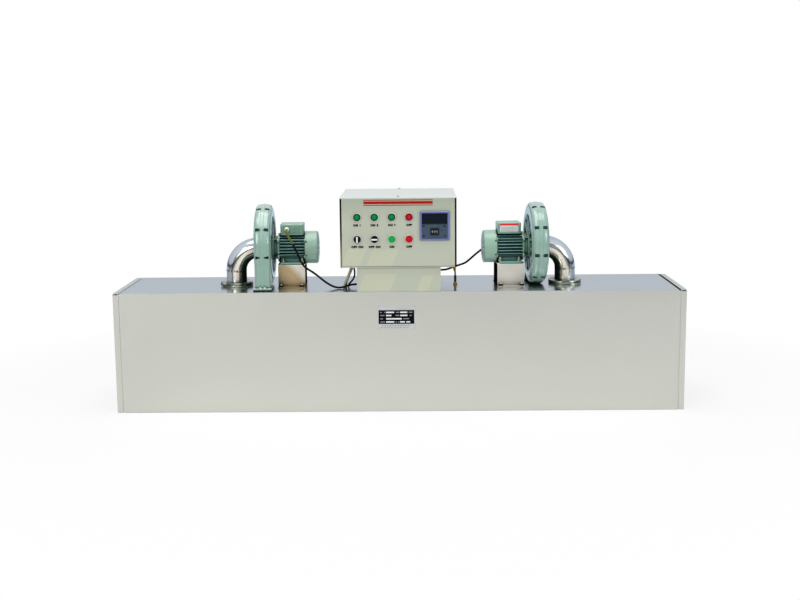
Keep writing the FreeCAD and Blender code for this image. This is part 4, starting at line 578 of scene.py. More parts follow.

# %% Warm left bracket with a painted highlight, and painted shadow between the walls of both
BRACKET_INSIDE, BRACKET_TOP = 0.0545, 0.4845
tree = bracket_sheet.node_tree
left_side = band(tree, -0.50, -0.20, (1, 0, 0))
overlay(bracket_sheet, (0.46, 0.33, 0.16), left_side, 0.9)
corner = units["left"] @ Vector((0.125, -0.056, -0.070))
lit = 0.7 * (corner.x + corner.z)
# Painted highlight: a pale diagonal band across the left bracket's upper corner.
diagonal_highlight = band(tree, lit - 0.006, lit + 0.05, (0.70, 0, 0.70), 0.024)
overlay(bracket_sheet, (0.84, 0.80, 0.72), diagonal_highlight, left_side, 0.8)
# Painted shadow: near black on the inner faces between each bracket's walls.
below_top = band(tree, 0.30, BRACKET_TOP, soft=0.0003)
for unit in units.values():
    level = unit.to_3x3() @ Vector((0, 1, 0))
    middle = unit.translation.dot(level)
    inside = band(tree, middle - BRACKET_INSIDE, middle + BRACKET_INSIDE, level, 0.0002)
    near = band(tree, unit.translation.x - 0.3, unit.translation.x + 0.3, (1, 0, 0))
    overlay(bracket_sheet, (0.012, 0.010, 0.008), inside, below_top, near)
print("brackets toned")

# %% Dark joints beside the end frames, and painted highlight streaks on the pipe flanges
JOINT_SHADE = colour_of(2, 14, 24)
JOINT_WIDTH = 0.0044
panel_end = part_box("tank_top_panel")[1].x
tree = satin_sheet.node_tree
above = band(tree, 0.395, 0.5, soft=0.0003)
between_skins = band(tree, -0.187, 0.187, (0, 1, 0), 0.0003)
joint_line = band(tree, panel_end - 0.02, panel_end + JOINT_WIDTH, (1, 0, 0), 0.0003)
overlay(satin_sheet, JOINT_SHADE, joint_line, between_skins, above)
for low, high, share in ((panel_end - JOINT_WIDTH, panel_end + 0.001, 1.0),
                         (-panel_end, 0.0008 - panel_end, 0.5)):
    shaded = band(mirror_sheet.node_tree, low, high, (1, 0, 0), 0.0004)
    overlay(mirror_sheet, JOINT_SHADE, shaded, share)
    roughen(mirror_sheet, shaded, 0.9)
tree = turned_flange.node_tree
# Painted highlight: pale streaks across the dark flanges.
highlight_streaks = noise(tree, vectors(tree, "MULTIPLY", spot(tree), (1, 1, 6)), 30.0, 1.0)
overlay(turned_flange, (0.80, 0.77, 0.64), ranged(tree, highlight_streaks, 0.50, 0.60), 0.65)
print("joints start", round(panel_end, 4), "m from the middle")

# %% [markdown]
# ## Paint and powder coat
# The blowers are cast, then sprayed sea green, so a soft pebbly skin shows through the gloss and
# the paint thins on sharp edges. The cabinet is folded sheet with a duller powder coat. Both are
# a colour under a clear gloss, with skin as bump, wear on edges and dust on top, so they share a
# recipe that takes the colour of what lies beneath the paint.

# %% One recipe for painted pieces
def skinned(tree, shader, size, pits, smooth, rough, relief, depth):
    """Gives a finish its skin, in roughness and in relief."""
    height = use(tree, cast_skin, Size=size, Pits=pits)["Height"]
    fill(tree, shader.inputs["Roughness"], ranged(tree, height, low=smooth, high=rough))
    bump(tree, shader, height, relief, depth)


def painted(name, colour, beneath, roughness, gloss, skin=420.0, relief=0.12, wear=0.5, spread=0.10,
            cloud=9.0, dust=0.25):
    """Paint over metal or plastic, with a fine skin, worn edges and dust on upward faces."""
    material, tree, shader = new_material(name, Coat_Weight=gloss, Coat_Roughness=0.12)
    tone = use(tree, tone_drift, Colour=colour, Spread=spread, Size=cloud)["Colour"]
    worn = use(tree, worn_edges, Width=0.0009, Patch_Size=70.0, Strength=wear)["Wear"]
    dusty = use(tree, settled_dust, Amount=dust, Patch_Size=25.0)["Dust"]
    tone = blended(tree, dusty, blended(tree, worn, tone, beneath), (0.72, 0.74, 0.70))
    fill(tree, shader.inputs["Base Color"], tone)
    skinned(tree, shader, skin, 0.35, roughness * 0.85, roughness * 1.15, relief, 0.0003)
    return material


casing_paint = painted("casing_paint", colour_of(135, 168, 155), (0.66, 0.76, 0.64), 0.22, 1.0, relief=0.16,
                       wear=0.45, spread=0.16)
lid_paint = painted("lid_paint", colour_of(140, 174, 154), (0.62, 0.72, 0.62), 0.30, 0.5)
box_paint = painted("box_paint", colour_of(116, 157, 137), (0.62, 0.66, 0.44), 0.30, 0.5, relief=0.2,
                    wear=0.8)
bolt_paint = painted("bolt_paint", colour_of(2, 62, 50), (0.10, 0.10, 0.06), 0.60, 0.02, dust=0.0)
cowl_paint = painted("cowl_paint", colour_of(140, 173, 154), (0.42, 0.17, 0.07), 0.34, 0.30, wear=1.0)
screw_paint = painted("screw_paint", colour_of(188, 206, 186), (0.80, 0.80, 0.70), 0.40, 0.30)
cabinet_coat = painted("cabinet_coat", colour_of(180, 185, 168), (0.36, 0.37, 0.30), 0.46, 0.12, 700.0, 0.08,
                       0.35, 0.05, 3.0, 0.15)
hood_coat = painted("hood_coat", colour_of(206, 211, 207), (0.45, 0.46, 0.40), 0.46, 0.12, 700.0, 0.08,
                    0.3, 0.03, 3.0, 0.1)
print("painted finishes:", 8)

# %% Cooling fins: pale edges over painted shade at the roots
FIN_TIP_SIDE, FIN_ROOT_SIDE = 0.0525, 0.0470


def fin_paint(name, centre, axis):
    """Motor paint with painted shade that darkens it towards the barrel, where light hardly reaches between
    the fins.
    """
    material = painted(name, colour_of(112, 162, 150), (0.80, 0.84, 0.64), 0.30, 0.5, wear=1.0)
    tree = material.node_tree
    fill(tree, tree.nodes["Principled BSDF"].inputs["Specular IOR Level"], 0.22)
    distance = use(tree, reach, Centre=centre, Axis=axis)["Distance"]
    # Painted shade deepens from the fin tips down to their roots.
    overlay(material, colour_of(4, 58, 66), ranged(tree, distance, FIN_TIP_SIDE, FIN_ROOT_SIDE), 0.95)
    grimy(material, colour_of(3, 46, 54), 0.88, 16, 0.82, 0.42)
    return material


left_fins = fin_paint("left_fins", *axles["left"])
right_fins = fin_paint("right_fins", *axles["right"])
print("fins painted on both motors")

# %% Painted shade under the hood, a dark seam, a painted highlight on the fold and painted reflections on the cabinet
tree = cabinet_coat.node_tree
# Painted shade under the hood's lip, fading down the top of the fascia.
overlay(cabinet_coat, colour_of(156, 165, 146), band(tree, 0.716, 0.80, soft=0.075), 0.8)
seam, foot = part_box("hood")[0].z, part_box("fascia")[0].z
# A dark seam under the hood, and a painted highlight along the fascia's folded foot.
for low, high, share, colour in ((seam - 0.0016, seam + 0.004, 0.85, (60, 66, 52)),
                                 (foot - 0.0005, foot + 0.0016, 0.8, (226, 226, 204))):
    overlay(cabinet_coat, colour_of(*colour), band(tree, low, high, soft=0.0004), share)
# Pale slanted patches are painted reflections on the fascia and pedestal.
REFLECTION_LEAN = (1, 0, -0.4)
REFLECTED_PATCHES = ((-0.387, -0.330, 0.500, 0.556), (-0.304, -0.222, 0.500, 0.552),
                 (-0.298, -0.196, 0.400, 0.468), (-0.105, -0.070, 0.400, 0.462))
for low, high, foot, top in REFLECTED_PATCHES:
    slanted = band(tree, low, high, REFLECTION_LEAN, 0.003)
    overlay(cabinet_coat, colour_of(200, 198, 168), slanted, band(tree, foot, top, soft=0.003), 0.42)
print("faded patches:", len(REFLECTED_PATCHES))

# %% Painted shade in corners and gaps of blowers, brackets, elbows and cabinet
# Painted shade darkens casing pockets, the inner bends of the elbows and the insides of the brackets.
for finish, share in ((casing_paint, 1.0), (box_paint, 0.95), (lid_paint, 0.6), (cowl_paint, 0.7)):
    grimy(finish, colour_of(2, 40, 40), share, 16, 0.86, 0.52)
grimy(zinc_steel, colour_of(26, 22, 16), 0.9, 8)
grimy(bracket_sheet, colour_of(22, 16, 12), 0.95, 70, 0.62, 0.40)
grimy(polished_tube, colour_of(14, 26, 20), 0.92, 90, 0.62, 0.42)
grimy(cabinet_coat, colour_of(70, 72, 56), 0.6, 9)
print("grime laid on 8 finishes")

# %% [markdown]
# ## Plastic, rubber and glass
# Moulded pieces have one colour right through. What makes them look moulded is a faint satin
# texture and the way gloss breaks on it. Push buttons and selectors are harder and shinier than
# gaskets, and the lamp lenses are clear coloured plastic with rings cut in their backs.

# %% Moulded pieces
def moulded(name, colour, roughness, gloss=0.0, skin=900.0, relief=0.06, spread=0.06, shine=0.5, dust=0.12):
    """Plastic or rubber with a fine satin texture."""
    material, tree, shader = new_material(name, Specular_IOR_Level=shine, Coat_Weight=gloss)
    tone = use(tree, tone_drift, Colour=colour, Spread=spread, Size=40.0)["Colour"]
    dusty = use(tree, settled_dust, Amount=dust, Patch_Size=40.0)["Dust"]
    fill(tree, shader.inputs["Base Color"], blended(tree, dusty, tone, (0.35, 0.35, 0.34)))
    skinned(tree, shader, skin, 0.2, roughness * 0.85, roughness * 1.15, relief, 0.0002)
    return material


black_rubber = moulded("black_rubber", (0.005, 0.005, 0.005), 0.8, shine=0.1, dust=0.05)
black_gloss = moulded("black_gloss", (0.004, 0.004, 0.005), 0.40, shine=0.12, dust=0.04)
gland_plastic = moulded("gland_plastic", (0.72, 0.72, 0.69), 0.4)
fan_plastic = moulded("fan_plastic", (0.03, 0.03, 0.03), 0.5)
start_green = moulded("start_green", colour_of(0, 156, 62), 0.4, 0.05, shine=0.25)
stop_red = moulded("stop_red", colour_of(180, 6, 22), 0.4, 0.05, shine=0.2)
case_plastic = moulded("case_plastic", colour_of(104, 113, 172), 0.36, 0.2)
wheel_plastic = moulded("wheel_plastic", (0.008, 0.011, 0.020), 0.45, shine=0.2)
gear_plastic = moulded("gear_plastic", (0.62, 0.62, 0.60), 0.5)
bezel_plastic = moulded("bezel_plastic", colour_of(204, 199, 194), 0.30, 0.3)
print_black = moulded("print_black", (0.004, 0.005, 0.004), 0.6, shine=0.05)
print_red = moulded("print_red", colour_of(160, 22, 12), 0.6, shine=0.1)
print_white = moulded("print_white", colour_of(226, 230, 228), 0.45)
plate_black = moulded("plate_black", (0.004, 0.004, 0.006), 0.6, spread=0.4, shine=0.04)
paper_grey = moulded("paper_grey", colour_of(198, 206, 206), 0.6, spread=0.2)
sticker_red = moulded("sticker_red", colour_of(226, 22, 20), 0.4, 0.3)
line_grey = moulded("line_grey", colour_of(138, 142, 146), 0.6)
winding_varnish = moulded("winding_varnish", (0.34, 0.12, 0.04), 0.3, 0.6, 250.0, 0.5)
rim_green = moulded("rim_green", colour_of(0, 50, 30), 0.5, shine=0.05, dust=0.02)
rim_red = moulded("rim_red", colour_of(92, 2, 8), 0.5, shine=0.05, dust=0.02)
brown_sleeve = moulded("brown_sleeve", (0.030, 0.011, 0.004), 0.6, shine=0.15, dust=0.02)
lead_jacket = moulded("lead_jacket", (0.003, 0.003, 0.004), 0.7, shine=0.06, dust=0.02)
striped_lead = moulded("striped_lead", (0.003, 0.003, 0.004), 0.6, shine=0.08, dust=0.02)
print("moulded finishes:", 23)

# %% Moulded pieces of more than one colour, and a painted reflection on the left seal
CONTROLLER_PLACE = (0.1205, 0.6313)
SLATE_HALF = 0.0428
tree = black_rubber.node_tree
# Painted reflection: the left seal turns olive towards its foot instead of black.
overlay(black_rubber, colour_of(128, 122, 82), band(tree, 0.40, 0.53, soft=0.07),
        band(tree, -0.20, -0.17, (1, 0, 0)))
tree = striped_lead.node_tree
sleeve_part = band(tree, 0.5665, 0.62)
overlay(striped_lead, colour_of(222, 208, 44), sleeve_part)
green_stripe = band(tree, -0.30, -0.0875, (0.3, 0.95, 0.1), 0.001)
overlay(striped_lead, colour_of(96, 104, 40), sleeve_part, green_stripe)
tree = case_plastic.node_tree
across, upright = (band(tree, middle - SLATE_HALF, middle + SLATE_HALF, direction, 0.0002)
                   for middle, direction in zip(CONTROLLER_PLACE, ((1, 0, 0), (0, 0, 1))))
behind = band(tree, -0.2045, 0, (0, 1, 0), 0.0002)
overlay(case_plastic, colour_of(48, 70, 88), across, upright, behind)
print("seal faded, lead striped, controller's panel slate")

# %% Lamp lenses and the controller's window
LENS_EDGE, LENS_STEM = (0.0094, 0.0078), (0.0040, 0.0022)


def lens_plastic(name, colour, gloss=0.02, shine=0.12):
    """Clear coloured plastic with a fine skin in its gloss and relief."""
    material, tree, shader = new_material(name, Coat_Weight=gloss, Coat_Roughness=0.12,
                                          Specular_IOR_Level=shine)
    tone = use(tree, tone_drift, Colour=colour, Spread=0.5, Size=160.0)["Colour"]
    fill(tree, shader.inputs["Base Color"], tone)
    skinned(tree, shader, 900.0, 1.0, 0.30, 0.45, 0.3, 0.0004)
    return material


def lens_rings(material, centres, rim, middle):
    """Darker rim, brighter disc and a spot where the lamp's stem shows through."""
    tree = material.node_tree
    distance = 1.0
    for centre in centres:
        from_lamp = use(tree, reach, Centre=centre, Axis=(0, 1, 0))["Distance"]
        distance = maths(tree, "MINIMUM", distance, from_lamp)
    disc = ranged(tree, distance, *LENS_EDGE)
    overlay(material, rim, maths(tree, "SUBTRACT", 1.0, disc))
    overlay(material, middle, ranged(tree, distance, *LENS_STEM), 0.6)


LAMP_X, LAMP_PITCH, LAMP_Z, SWITCH_Z = -0.1362, 0.0574, 0.661, 0.588
lamp_places = [(LAMP_X + i * LAMP_PITCH, 0, LAMP_Z) for i in range(4)]
green_lens = lens_plastic("green_lens", colour_of(0, 124, 68), shine=0.06)
lens_rings(green_lens, lamp_places[:3], colour_of(0, 66, 36), colour_of(20, 150, 92))
red_lens = lens_plastic("red_lens", colour_of(176, 6, 14))
lens_rings(red_lens, lamp_places[3:], colour_of(120, 4, 10), colour_of(206, 44, 44))
dark_window = lens_plastic("dark_window", colour_of(4, 13, 26), 0.03)
blue_lens = lens_plastic("blue_lens", colour_of(92, 128, 196))
print("clear finishes:", 4)

# %% [markdown]
# ## Woven sleeves
# The heater's thick lead runs in a pale glass sleeve and the probe's lead in a brown braid. The
# strands cross at a steep angle. Modelling each strand would cost thousands of faces on pieces a
# finger long, so two crossing waves round the sleeve raise and darken the surface instead.

# %% Braided finish
def braided(name, strand, gap, pitch):
    """Braid of two crossing sets of strands on a slim upright sleeve."""
    material, tree, shader = new_material(name, Roughness=0.8)
    waves = []
    for lean in (1.0, -1.0):
        turned = vectors(tree, "MULTIPLY", spot(tree), (lean, 1.0, 1.2))
        wave = put(tree, "TexWave", {"Vector": turned, "Scale": pitch, "Distortion": 1.0},
                   bands_direction="DIAGONAL")
        waves.append(wave.outputs["Fac"])
    weave = maths(tree, "MAXIMUM", *waves)
    fill(tree, shader.inputs["Base Color"], blended(tree, weave, gap, strand))
    bump(tree, shader, weave, 0.6, 0.0004)
    return material


glass_sleeve = braided("glass_sleeve", (0.50, 0.49, 0.34), (0.16, 0.15, 0.09), 160.0)
probe_braid = braided("probe_braid", (0.045, 0.014, 0.003), (0.002, 0.001, 0.001), 260.0)
print("woven finishes:", 2)

# %% [markdown]
# ## Giving each piece its finish
# The measured pieces keep their shapes; only the material in their slot changes. A table of
# finish and pieces is easier to check against the real tunnel than one line for each piece.

# %% Assign the finishes
FINISHES = {
    satin_sheet: "tank_front_panel tank_rear_panel end_frame_left end_frame_right",
    mirror_sheet: "tank_top_panel",
    bracket_sheet: "motor_brackets",
    polished_tube: "left_inlet_elbow right_inlet_elbow",
    turned_flange: "pipe_flanges",
    galvanised_sheet: "tank_base_pan plenum_box nozzle_plate",
    ground_steel: "heater_elements left_rotor right_rotor motor_bearings",
    zinc_steel: "mounting_screws",
    bolt_paint: "blower_bolts",
    rough_casting: "left_impeller right_impeller",
    plate_metal: "rating_plate",
    turned_brass: "probe_fitting",
    casing_paint: "left_casing_inlet_half left_casing_motor_half "
                  "right_casing_inlet_half right_casing_motor_half",
    left_fins: "left_stator_housing",
    right_fins: "right_stator_housing",
    box_paint: "motor_end_shields terminal_boxes",
    lid_paint: "terminal_lids",
    cowl_paint: "fan_cowls",
    cabinet_coat: "pedestal cabinet_shell fascia",
    hood_coat: "hood",
    black_rubber: "rubber_seals",
    black_gloss: "heat_selector fan_selector",
    gland_plastic: "cable_glands",
    fan_plastic: "left_cooling_fan right_cooling_fan",
    start_green: "start_button",
    stop_red: "stop_button",
    case_plastic: "controller_case",
    wheel_plastic: "number_wheel_hundreds number_wheel_tens number_wheel_units",
    gear_plastic: "control_gear",
    bezel_plastic: "device_bezels",
    winding_varnish: "stator_windings",
    green_lens: "green_lenses",
    red_lens: "red_lens",
    dark_window: "controller_window"}
JACKETS = {"left_motor_lead": striped_lead, "heater_sleeve_lead": glass_sleeve, "probe_lead": probe_braid}

finished = 0
for finish, names in FINISHES.items():
    for name in names.split():
        nodes[name].material_slots[0].material = finish
        finished += 1
for name, curve in leads.items():
    curve.materials.append(JACKETS.get(name, lead_jacket))
print("pieces finished:", finished, "of", len(nodes) - len(leads))

# %% [markdown]
# ## Small pieces that are added here
# Prints, plates, stickers and screw heads are too small to matter to the way the tunnel works, but
# the eye looks for them. They could be drawn into a material as masks. Real pieces a fraction of a
# millimetre thick stay sharp at any distance, throw a hairline shadow and can ride on a knob or a
# number wheel, so each one is a small mesh, made of two forms: a block with rounded edges and a
# turned form.

# %% Blocks and turned forms
def add_block(shape, ends, edge, place=None):
    """Block with rounded edges, from its two ends in X, in Y and in Z."""
    low, high = (Vector(corner) for corner in zip(*map(sorted, ends)))
    middle = Matrix.Translation((low + high) / 2)
    made = bmesh.ops.create_cube(shape, size=1.0, matrix=middle @ Matrix.Diagonal((*(high - low), 1)))
    edges = list({line for vert in made["verts"] for line in vert.link_edges})
    rounded = bmesh.ops.bevel(shape, geom=edges, offset=edge, segments=2, affect="EDGES", profile=0.5)
    if place is not None:
        corners = list({vert for face in rounded["faces"] for vert in face.verts})
        bmesh.ops.transform(shape, matrix=place, verts=corners)


def add_turned(shape, outline, place, steps=24, closed=False):
    """Turned form from (radius, height) points about Z; a closed one joins its last point to its first."""
    rings = []
    for radius, height in outline:
        angles = [i * math.tau / steps for i in range(steps)]
        rings.append([shape.verts.new(place @ Vector((radius * math.cos(a), radius * math.sin(a), height)))
                      for a in angles])
    for below, above in zip(rings, rings[1:] + rings[:1] * closed):
        for i in range(steps):
            j = (i + 1) % steps
            shape.faces.new((below[i], below[j], above[j], above[i]))
    if not closed:
        shape.faces.new(list(reversed(rings[0])))
        shape.faces.new(rings[-1])


print("two forms ready")

# %% Helpers that end a small piece and place it
def piece_from(shape, name, finish, body=BASE):
    """Ends a mesh, gives it a finish and lets it ride on a body."""
    mesh = bpy.data.meshes.new(name)
    shape.to_mesh(mesh)
    shape.free()
    mesh.materials.append(finish)
    piece = add_object(name, mesh)
    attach(piece, body)
    return piece


def piece_of_turnings(name, finish, outline, places, steps=24, closed=False):
    """Piece made of one turned form in several places."""
    shape = bmesh.new()
    for place in places:
        add_turned(shape, outline, place, steps, closed)
    piece_from(shape, name, finish)


def piece_of_blocks(name, finish, blocks, edge=0.0001, body=BASE, place=None):
    """Piece made of blocks, each given as its ends in X, in Y and in Z."""
    shape = bmesh.new()
    for ends in blocks:
        add_block(shape, ends, edge, place)
    piece_from(shape, name, finish, body)


def about(middle, half):
    """Both ends of a span from its middle and half its size."""
    return middle - half, middle + half


def facing_front(x, y, z):
    """Placement whose Z axis points out of the cabinet's front."""
    return Matrix.Translation((x, y, z)) @ Matrix.Rotation(math.pi / 2, 4, "X")


def letters(name, words, height, thick, swell):
    """Centred text in Blender's own font, as curves; swell thickens its strokes."""
    text = bpy.data.curves.new(name, "FONT")
    text.body = words
    text.size = height / 0.70
    text.align_x = "CENTER"
    text.align_y = "CENTER"
    text.extrude = thick
    text.offset = height * swell
    return text


print("helpers for small pieces ready")

# %% [markdown]
# ## Words and stripes on the cabinet's front
# Each lamp and switch has a short legend under it, screened on in black. The words are text
# objects, which keep their true outlines and are thin enough to look printed. Across the top runs
# a band of red stripes instead of a name.

# %% Legends under the lamps and switches
FASCIA_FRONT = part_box("fascia")[0].y
PRINT_DEPTH = 0.00012
LEGENDS = {"lamp": (LAMP_Z - 0.0272, ("ON 1", "ON 2", "ON 3", "OFF")),
           "switch": (SWITCH_Z - 0.0262, ("OFF ON", "OFF ON", "ON", "OFF"))}

for i in range(4):
    for row, (height, words) in LEGENDS.items():
        name = row + "_legend_" + str(i + 1)
        text = letters(name, words[i], 0.0064, PRINT_DEPTH, 0.15)
        text.space_character = 1.25
        text.materials.append(print_black)
        piece = add_object(name, text)
        piece.matrix_world = facing_front(LAMP_X + i * LAMP_PITCH, FASCIA_FRONT, height)
        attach(piece, BASE)
print("legends printed: 8")

# %% Red stripes across the top
STRIPE_Z, STRIPE_WIDTH = 0.7085, 0.229
STRIPES = ((-0.0085, 0.0028), (0.0, 0.0090), (0.0085, 0.0028))
across, deep = about(0, STRIPE_WIDTH / 2), about(FASCIA_FRONT, PRINT_DEPTH)
stripes = [(across, deep, about(STRIPE_Z + offset, thick / 2)) for offset, thick in STRIPES]
piece_of_blocks("title_stripes", print_red, stripes, 0.00005)
print("stripes:", len(STRIPES))

# %% [markdown]
# ## Marks on the two selectors
# A selector shows its position by a white bar let into its grip. It has to turn with the knob, so
# each bar rides on its own selector and not on the cabinet. The heat selector stands upright at
# rest and the fan selector lies level.

# %% White bars let into the grips
for name, across, upright in (("heat_selector", 0.0025, 0.0100), ("fan_selector", 0.0100, 0.0025)):
    low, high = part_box(name)
    middle = (low + high) / 2
    bar = (about(middle.x, across), (low.y - 0.0002, low.y + 0.0004), about(middle.z, upright))
    piece_of_blocks(name + "_bar", print_white, [bar], body=name)
print("selector bars ride on their knobs")

# %% [markdown]
# ## The temperature controller
# Its lower half is a slate panel with a thumbwheel block in the middle, a lamp above it and a few
# adjusting screws. The block's frame has one window over three number wheels. Digits could be a
# texture on the wheels, but they must turn with them, so the ten digits of each wheel are one thin
# mesh laid on its ten flats.

# %% Frame over the number wheels
case_low, case_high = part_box("controller_case")
PANEL = (case_low + case_high) / 2
PANEL_Y = case_low.y + 0.003
wheel_low, wheel_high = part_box("number_wheel_tens")
WHEEL = (wheel_low + wheel_high) / 2
WHEEL_PITCH = 0.0074
FRAME_FRONT, FRAME_BACK = PANEL_Y - 0.0026, PANEL_Y - 0.0012
RIB_BACK = FRAME_BACK - 0.0007
WINDOW_HALF = 0.0040
WIDE, TALL = 0.0140, 0.0123
across, upright, thick = about(WHEEL.x, WIDE), about(WHEEL.z, TALL), (FRAME_FRONT, FRAME_BACK)
shape = bmesh.new()
for side in (-1, 1):
    edge_x = WHEEL.x + side * WIDE
    rib = about(WHEEL.x + side * WHEEL_PITCH / 2, 0.0004)
    add_block(shape, (across, thick, (WHEEL.z + side * WINDOW_HALF, WHEEL.z + side * TALL)), 0.0004)
    add_block(shape, ((WHEEL.x + side * 1.52 * WHEEL_PITCH, edge_x), thick, upright), 0.0004)
    add_block(shape, (rib, (FRAME_FRONT, RIB_BACK), about(WHEEL.z, WINDOW_HALF)), 0.0001)
    add_block(shape, ((WHEEL.x + side * 0.0125, edge_x), (FRAME_BACK, PANEL_Y), upright), 0.0002)
piece_from(shape, "number_wheel_frame", wheel_plastic)
print("frame over the wheels is", round(2000 * WIDE, 1), "mm wide")

# %% Ten digits round each number wheel
FLAT_REACH = (wheel_high.y - wheel_low.y) / 2


def digit_mesh(digit):
    """Flat mesh of one digit."""
    text = letters("digit", str(digit), 0.0046, 0.00006, 0.02)
    holder = bpy.data.objects.new("digit", text)
    mesh = bpy.data.meshes.new_from_object(holder)
    bpy.data.objects.remove(holder)
    bpy.data.curves.remove(text)
    return mesh


for name in ("hundreds", "tens", "units"):
    node = "number_wheel_" + name
    low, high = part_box(node)
    axle = Matrix.Translation(((low.x + high.x) / 2, WHEEL.y, WHEEL.z))
    shape = bmesh.new()
    for digit in range(10):
        mesh = digit_mesh(digit)
        turn = Matrix.Rotation(-digit * math.tau / 10, 4, "X")
        mesh.transform(axle @ turn @ facing_front(0, -FLAT_REACH, 0))
        shape.from_mesh(mesh)
        bpy.data.meshes.remove(mesh)
    piece_from(shape, node + "_digits", print_white, node)
print("digits lie", round(1000 * FLAT_REACH, 2), "mm from the axle")

# %% Lamp, adjusting screws, dark marks and a painted shadow line under the window
SCREWS = ((-0.0358, -0.0327, 0.0030), (0.0333, -0.0336, 0.0027), (0.0229, -0.0159, 0.0020))
LAMP = ((0.0015, 0.0006, 0.0015),)
# The last block is a dark strip for the shadow under the window's lower edge.
MARKS_AND_SHADOW_LINE = ((-0.0410, -0.0330, -0.0027, 0.0013, 0.0004, 0.0001),
        (0.0275, 0.0375, -0.0035, 0.0005, 0.0004, 0.0001),
        (-0.0405, 0.0405, 0.0052, 0.0082, 0.0023, 0.0003))
for name, marks, finish in (("adjusting_screws", SCREWS, wheel_plastic), ("panel_lamp", LAMP, blue_lens)):
    shape = bmesh.new()
    for x, z, radius in marks:
        head = ((radius, -0.0002), (radius, 0.0005), (radius * 0.8, 0.0009), (radius * 0.25, 0.0010))
        add_turned(shape, head, facing_front(PANEL.x + x, PANEL_Y, PANEL.z + z))
    piece_from(shape, name, finish)
shape = bmesh.new()
for left, right, foot, top, rise, edge in MARKS_AND_SHADOW_LINE:
    add_block(shape, ((PANEL.x + left, PANEL.x + right), (PANEL_Y - rise, PANEL_Y + 0.0002),
                     (PANEL.z + foot, PANEL.z + top)), edge)
piece_from(shape, "controller_marks_and_shadow_line", wheel_plastic)
print("controller trimmed")

# %% [markdown]
# ## Plate and sticker
# The rating plate on the tank's front has a black field with pale blank boxes, which a maker fills
# in. The right motor's terminal box carries a paper sticker with a red band. Both are left without
# words: the boxes and lines alone give the plate its look.

# %% Rating plate
plate_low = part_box("rating_plate")[0]
BOXES = ((0.0582, ((0.0294, 0.0566), (0.0765, 0.1007))),
         (0.0475, ((0.0294, 0.0472), (0.0765, 0.1010))),
         (0.0362, ((0.0294, 0.0818),)),
         (0.0255, ((0.0294, 0.0566), (0.0765, 0.0923), (0.0975, 0.1101))))
DASHES = ((0.0582, ((0.0100, 0.0150), (0.0235, 0.0265), (0.0630, 0.0740), (0.1055, 0.1180))),
          (0.0475, ((0.0100, 0.0240), (0.0610, 0.0735), (0.1085, 0.1150))),
          (0.0362, ((0.0105, 0.0190), (0.0870, 0.1065))),
          (0.0255, ((0.0100, 0.0255), (0.0610, 0.0665), (0.0700, 0.0745))))
BELOW_FIELD = ((0.0125, 0.0032, 11, 0.0155), (0.0062, 0.0022, 9, 0.0125))


def plate_block(start, end, height, thick, rise, sunk=0.0):
    """Ends of a block on the plate, from its place along and up the plate."""
    return ((plate_low.x + start, plate_low.x + end), (plate_low.y - rise, plate_low.y + sunk),
            about(plate_low.z + height, thick / 2))


field = plate_block(0.0042, 0.1239, 0.0422, 0.0470, 0.00015, 0.0001)
piece_of_blocks("plate_field", plate_black, [field], 0.00008)
for name, finish, rows, thick, rise in (("plate_boxes", print_white, BOXES, 0.0046, 0.0003),
                                        ("plate_labels", line_grey, DASHES, 0.0030, 0.0002)):
    piece_of_blocks(name, finish, [plate_block(start, end, height, thick, rise)
                                   for height, spans in rows for start, end in spans])
small = []
for height, thick, count, start in BELOW_FIELD:
    pitch = 0.096 / count
    for x in (start + i * pitch for i in range(count)):
        small.append(plate_block(x, x + 0.6 * pitch, height, thick, 0.0002))
piece_of_blocks("plate_small_rows", line_grey, small)
print("plate rows:", len(BOXES) + len(BELOW_FIELD))

# %% Sticker on the right terminal box
STICKER_X = (0.0660, 0.1290)
BOX_FACE = 0.0390
LINE_END, LINE_LENGTH = STICKER_X[1] - 0.004, 0.052
LINES = ((0.0675, 0.80), (0.0630, 0.90), (0.0590, 0.62), (0.0555, 0.85))
PAPER = (STICKER_X, (BOX_FACE - 0.0001, BOX_FACE + 0.0003), (0.0525, 0.0742))
BAND_TOP = ((STICKER_X[0] - 0.0006, STICKER_X[1] + 0.0006), (BOX_FACE - 0.0001, BOX_FACE + 0.0004),
            (0.0742, 0.0808))
line_depth = (BOX_FACE + 0.0002, BOX_FACE + 0.00042)
WRITTEN = [((LINE_END - share * LINE_LENGTH, LINE_END), line_depth, about(height, 0.0006))
           for height, share in LINES]
for name, finish, blocks, edge in (("sticker_field", paper_grey, [PAPER], 0.0001),
                                   ("sticker_band", sticker_red, [BAND_TOP], 0.0001),
                                   ("sticker_lines", line_grey, WRITTEN, 0.00005)):
    piece_of_blocks(name, finish, blocks, edge, place=units["right"])
print("sticker laid")

# %% Dark rims where each lens screws into its bezel
LENS_RIM = ((0.0127, -0.0002), (0.0125, 0.0006), (0.0108, 0.0021), (0.0100, 0.0022), (0.0100, 0.0012),
            (0.0118, -0.0002))
bezel_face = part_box("device_bezels")[0].y
rims = [facing_front(x, bezel_face, z) for x, _, z in lamp_places]
piece_of_turnings("green_lens_rims", rim_green, LENS_RIM, rims[:3], 32, closed=True)
piece_of_turnings("red_lens_rim", rim_red, LENS_RIM, rims[3:], 32, closed=True)
print("lens rims:", len(lamp_places))

# %% [markdown]
# ## Screws, bolts and the probe's fitting
# Domed screws hold each blower's foot and each fan cowl, and dark bolts with bright tops hold the
# brackets. All are turned forms with a domed top, because a slot would be too fine to see. The
# probe's braid has a brass ferrule where it leaves the cabinet, a crimp lower down, and a dark
# sleeve where it meets the brass fitting on the tank.

# %% Heads on the feet, the brackets and the cowls
def dome(radius, rise):
    """Outline of a domed screw head."""
    return ((radius, -0.0002), (radius, rise * 0.35), (radius * 0.92, rise * 0.65),
            (radius * 0.62, rise * 0.92), (radius * 0.18, rise))


def move(x, y, z):
    """Placement that only moves."""
    return Matrix.Translation((x, y, z))


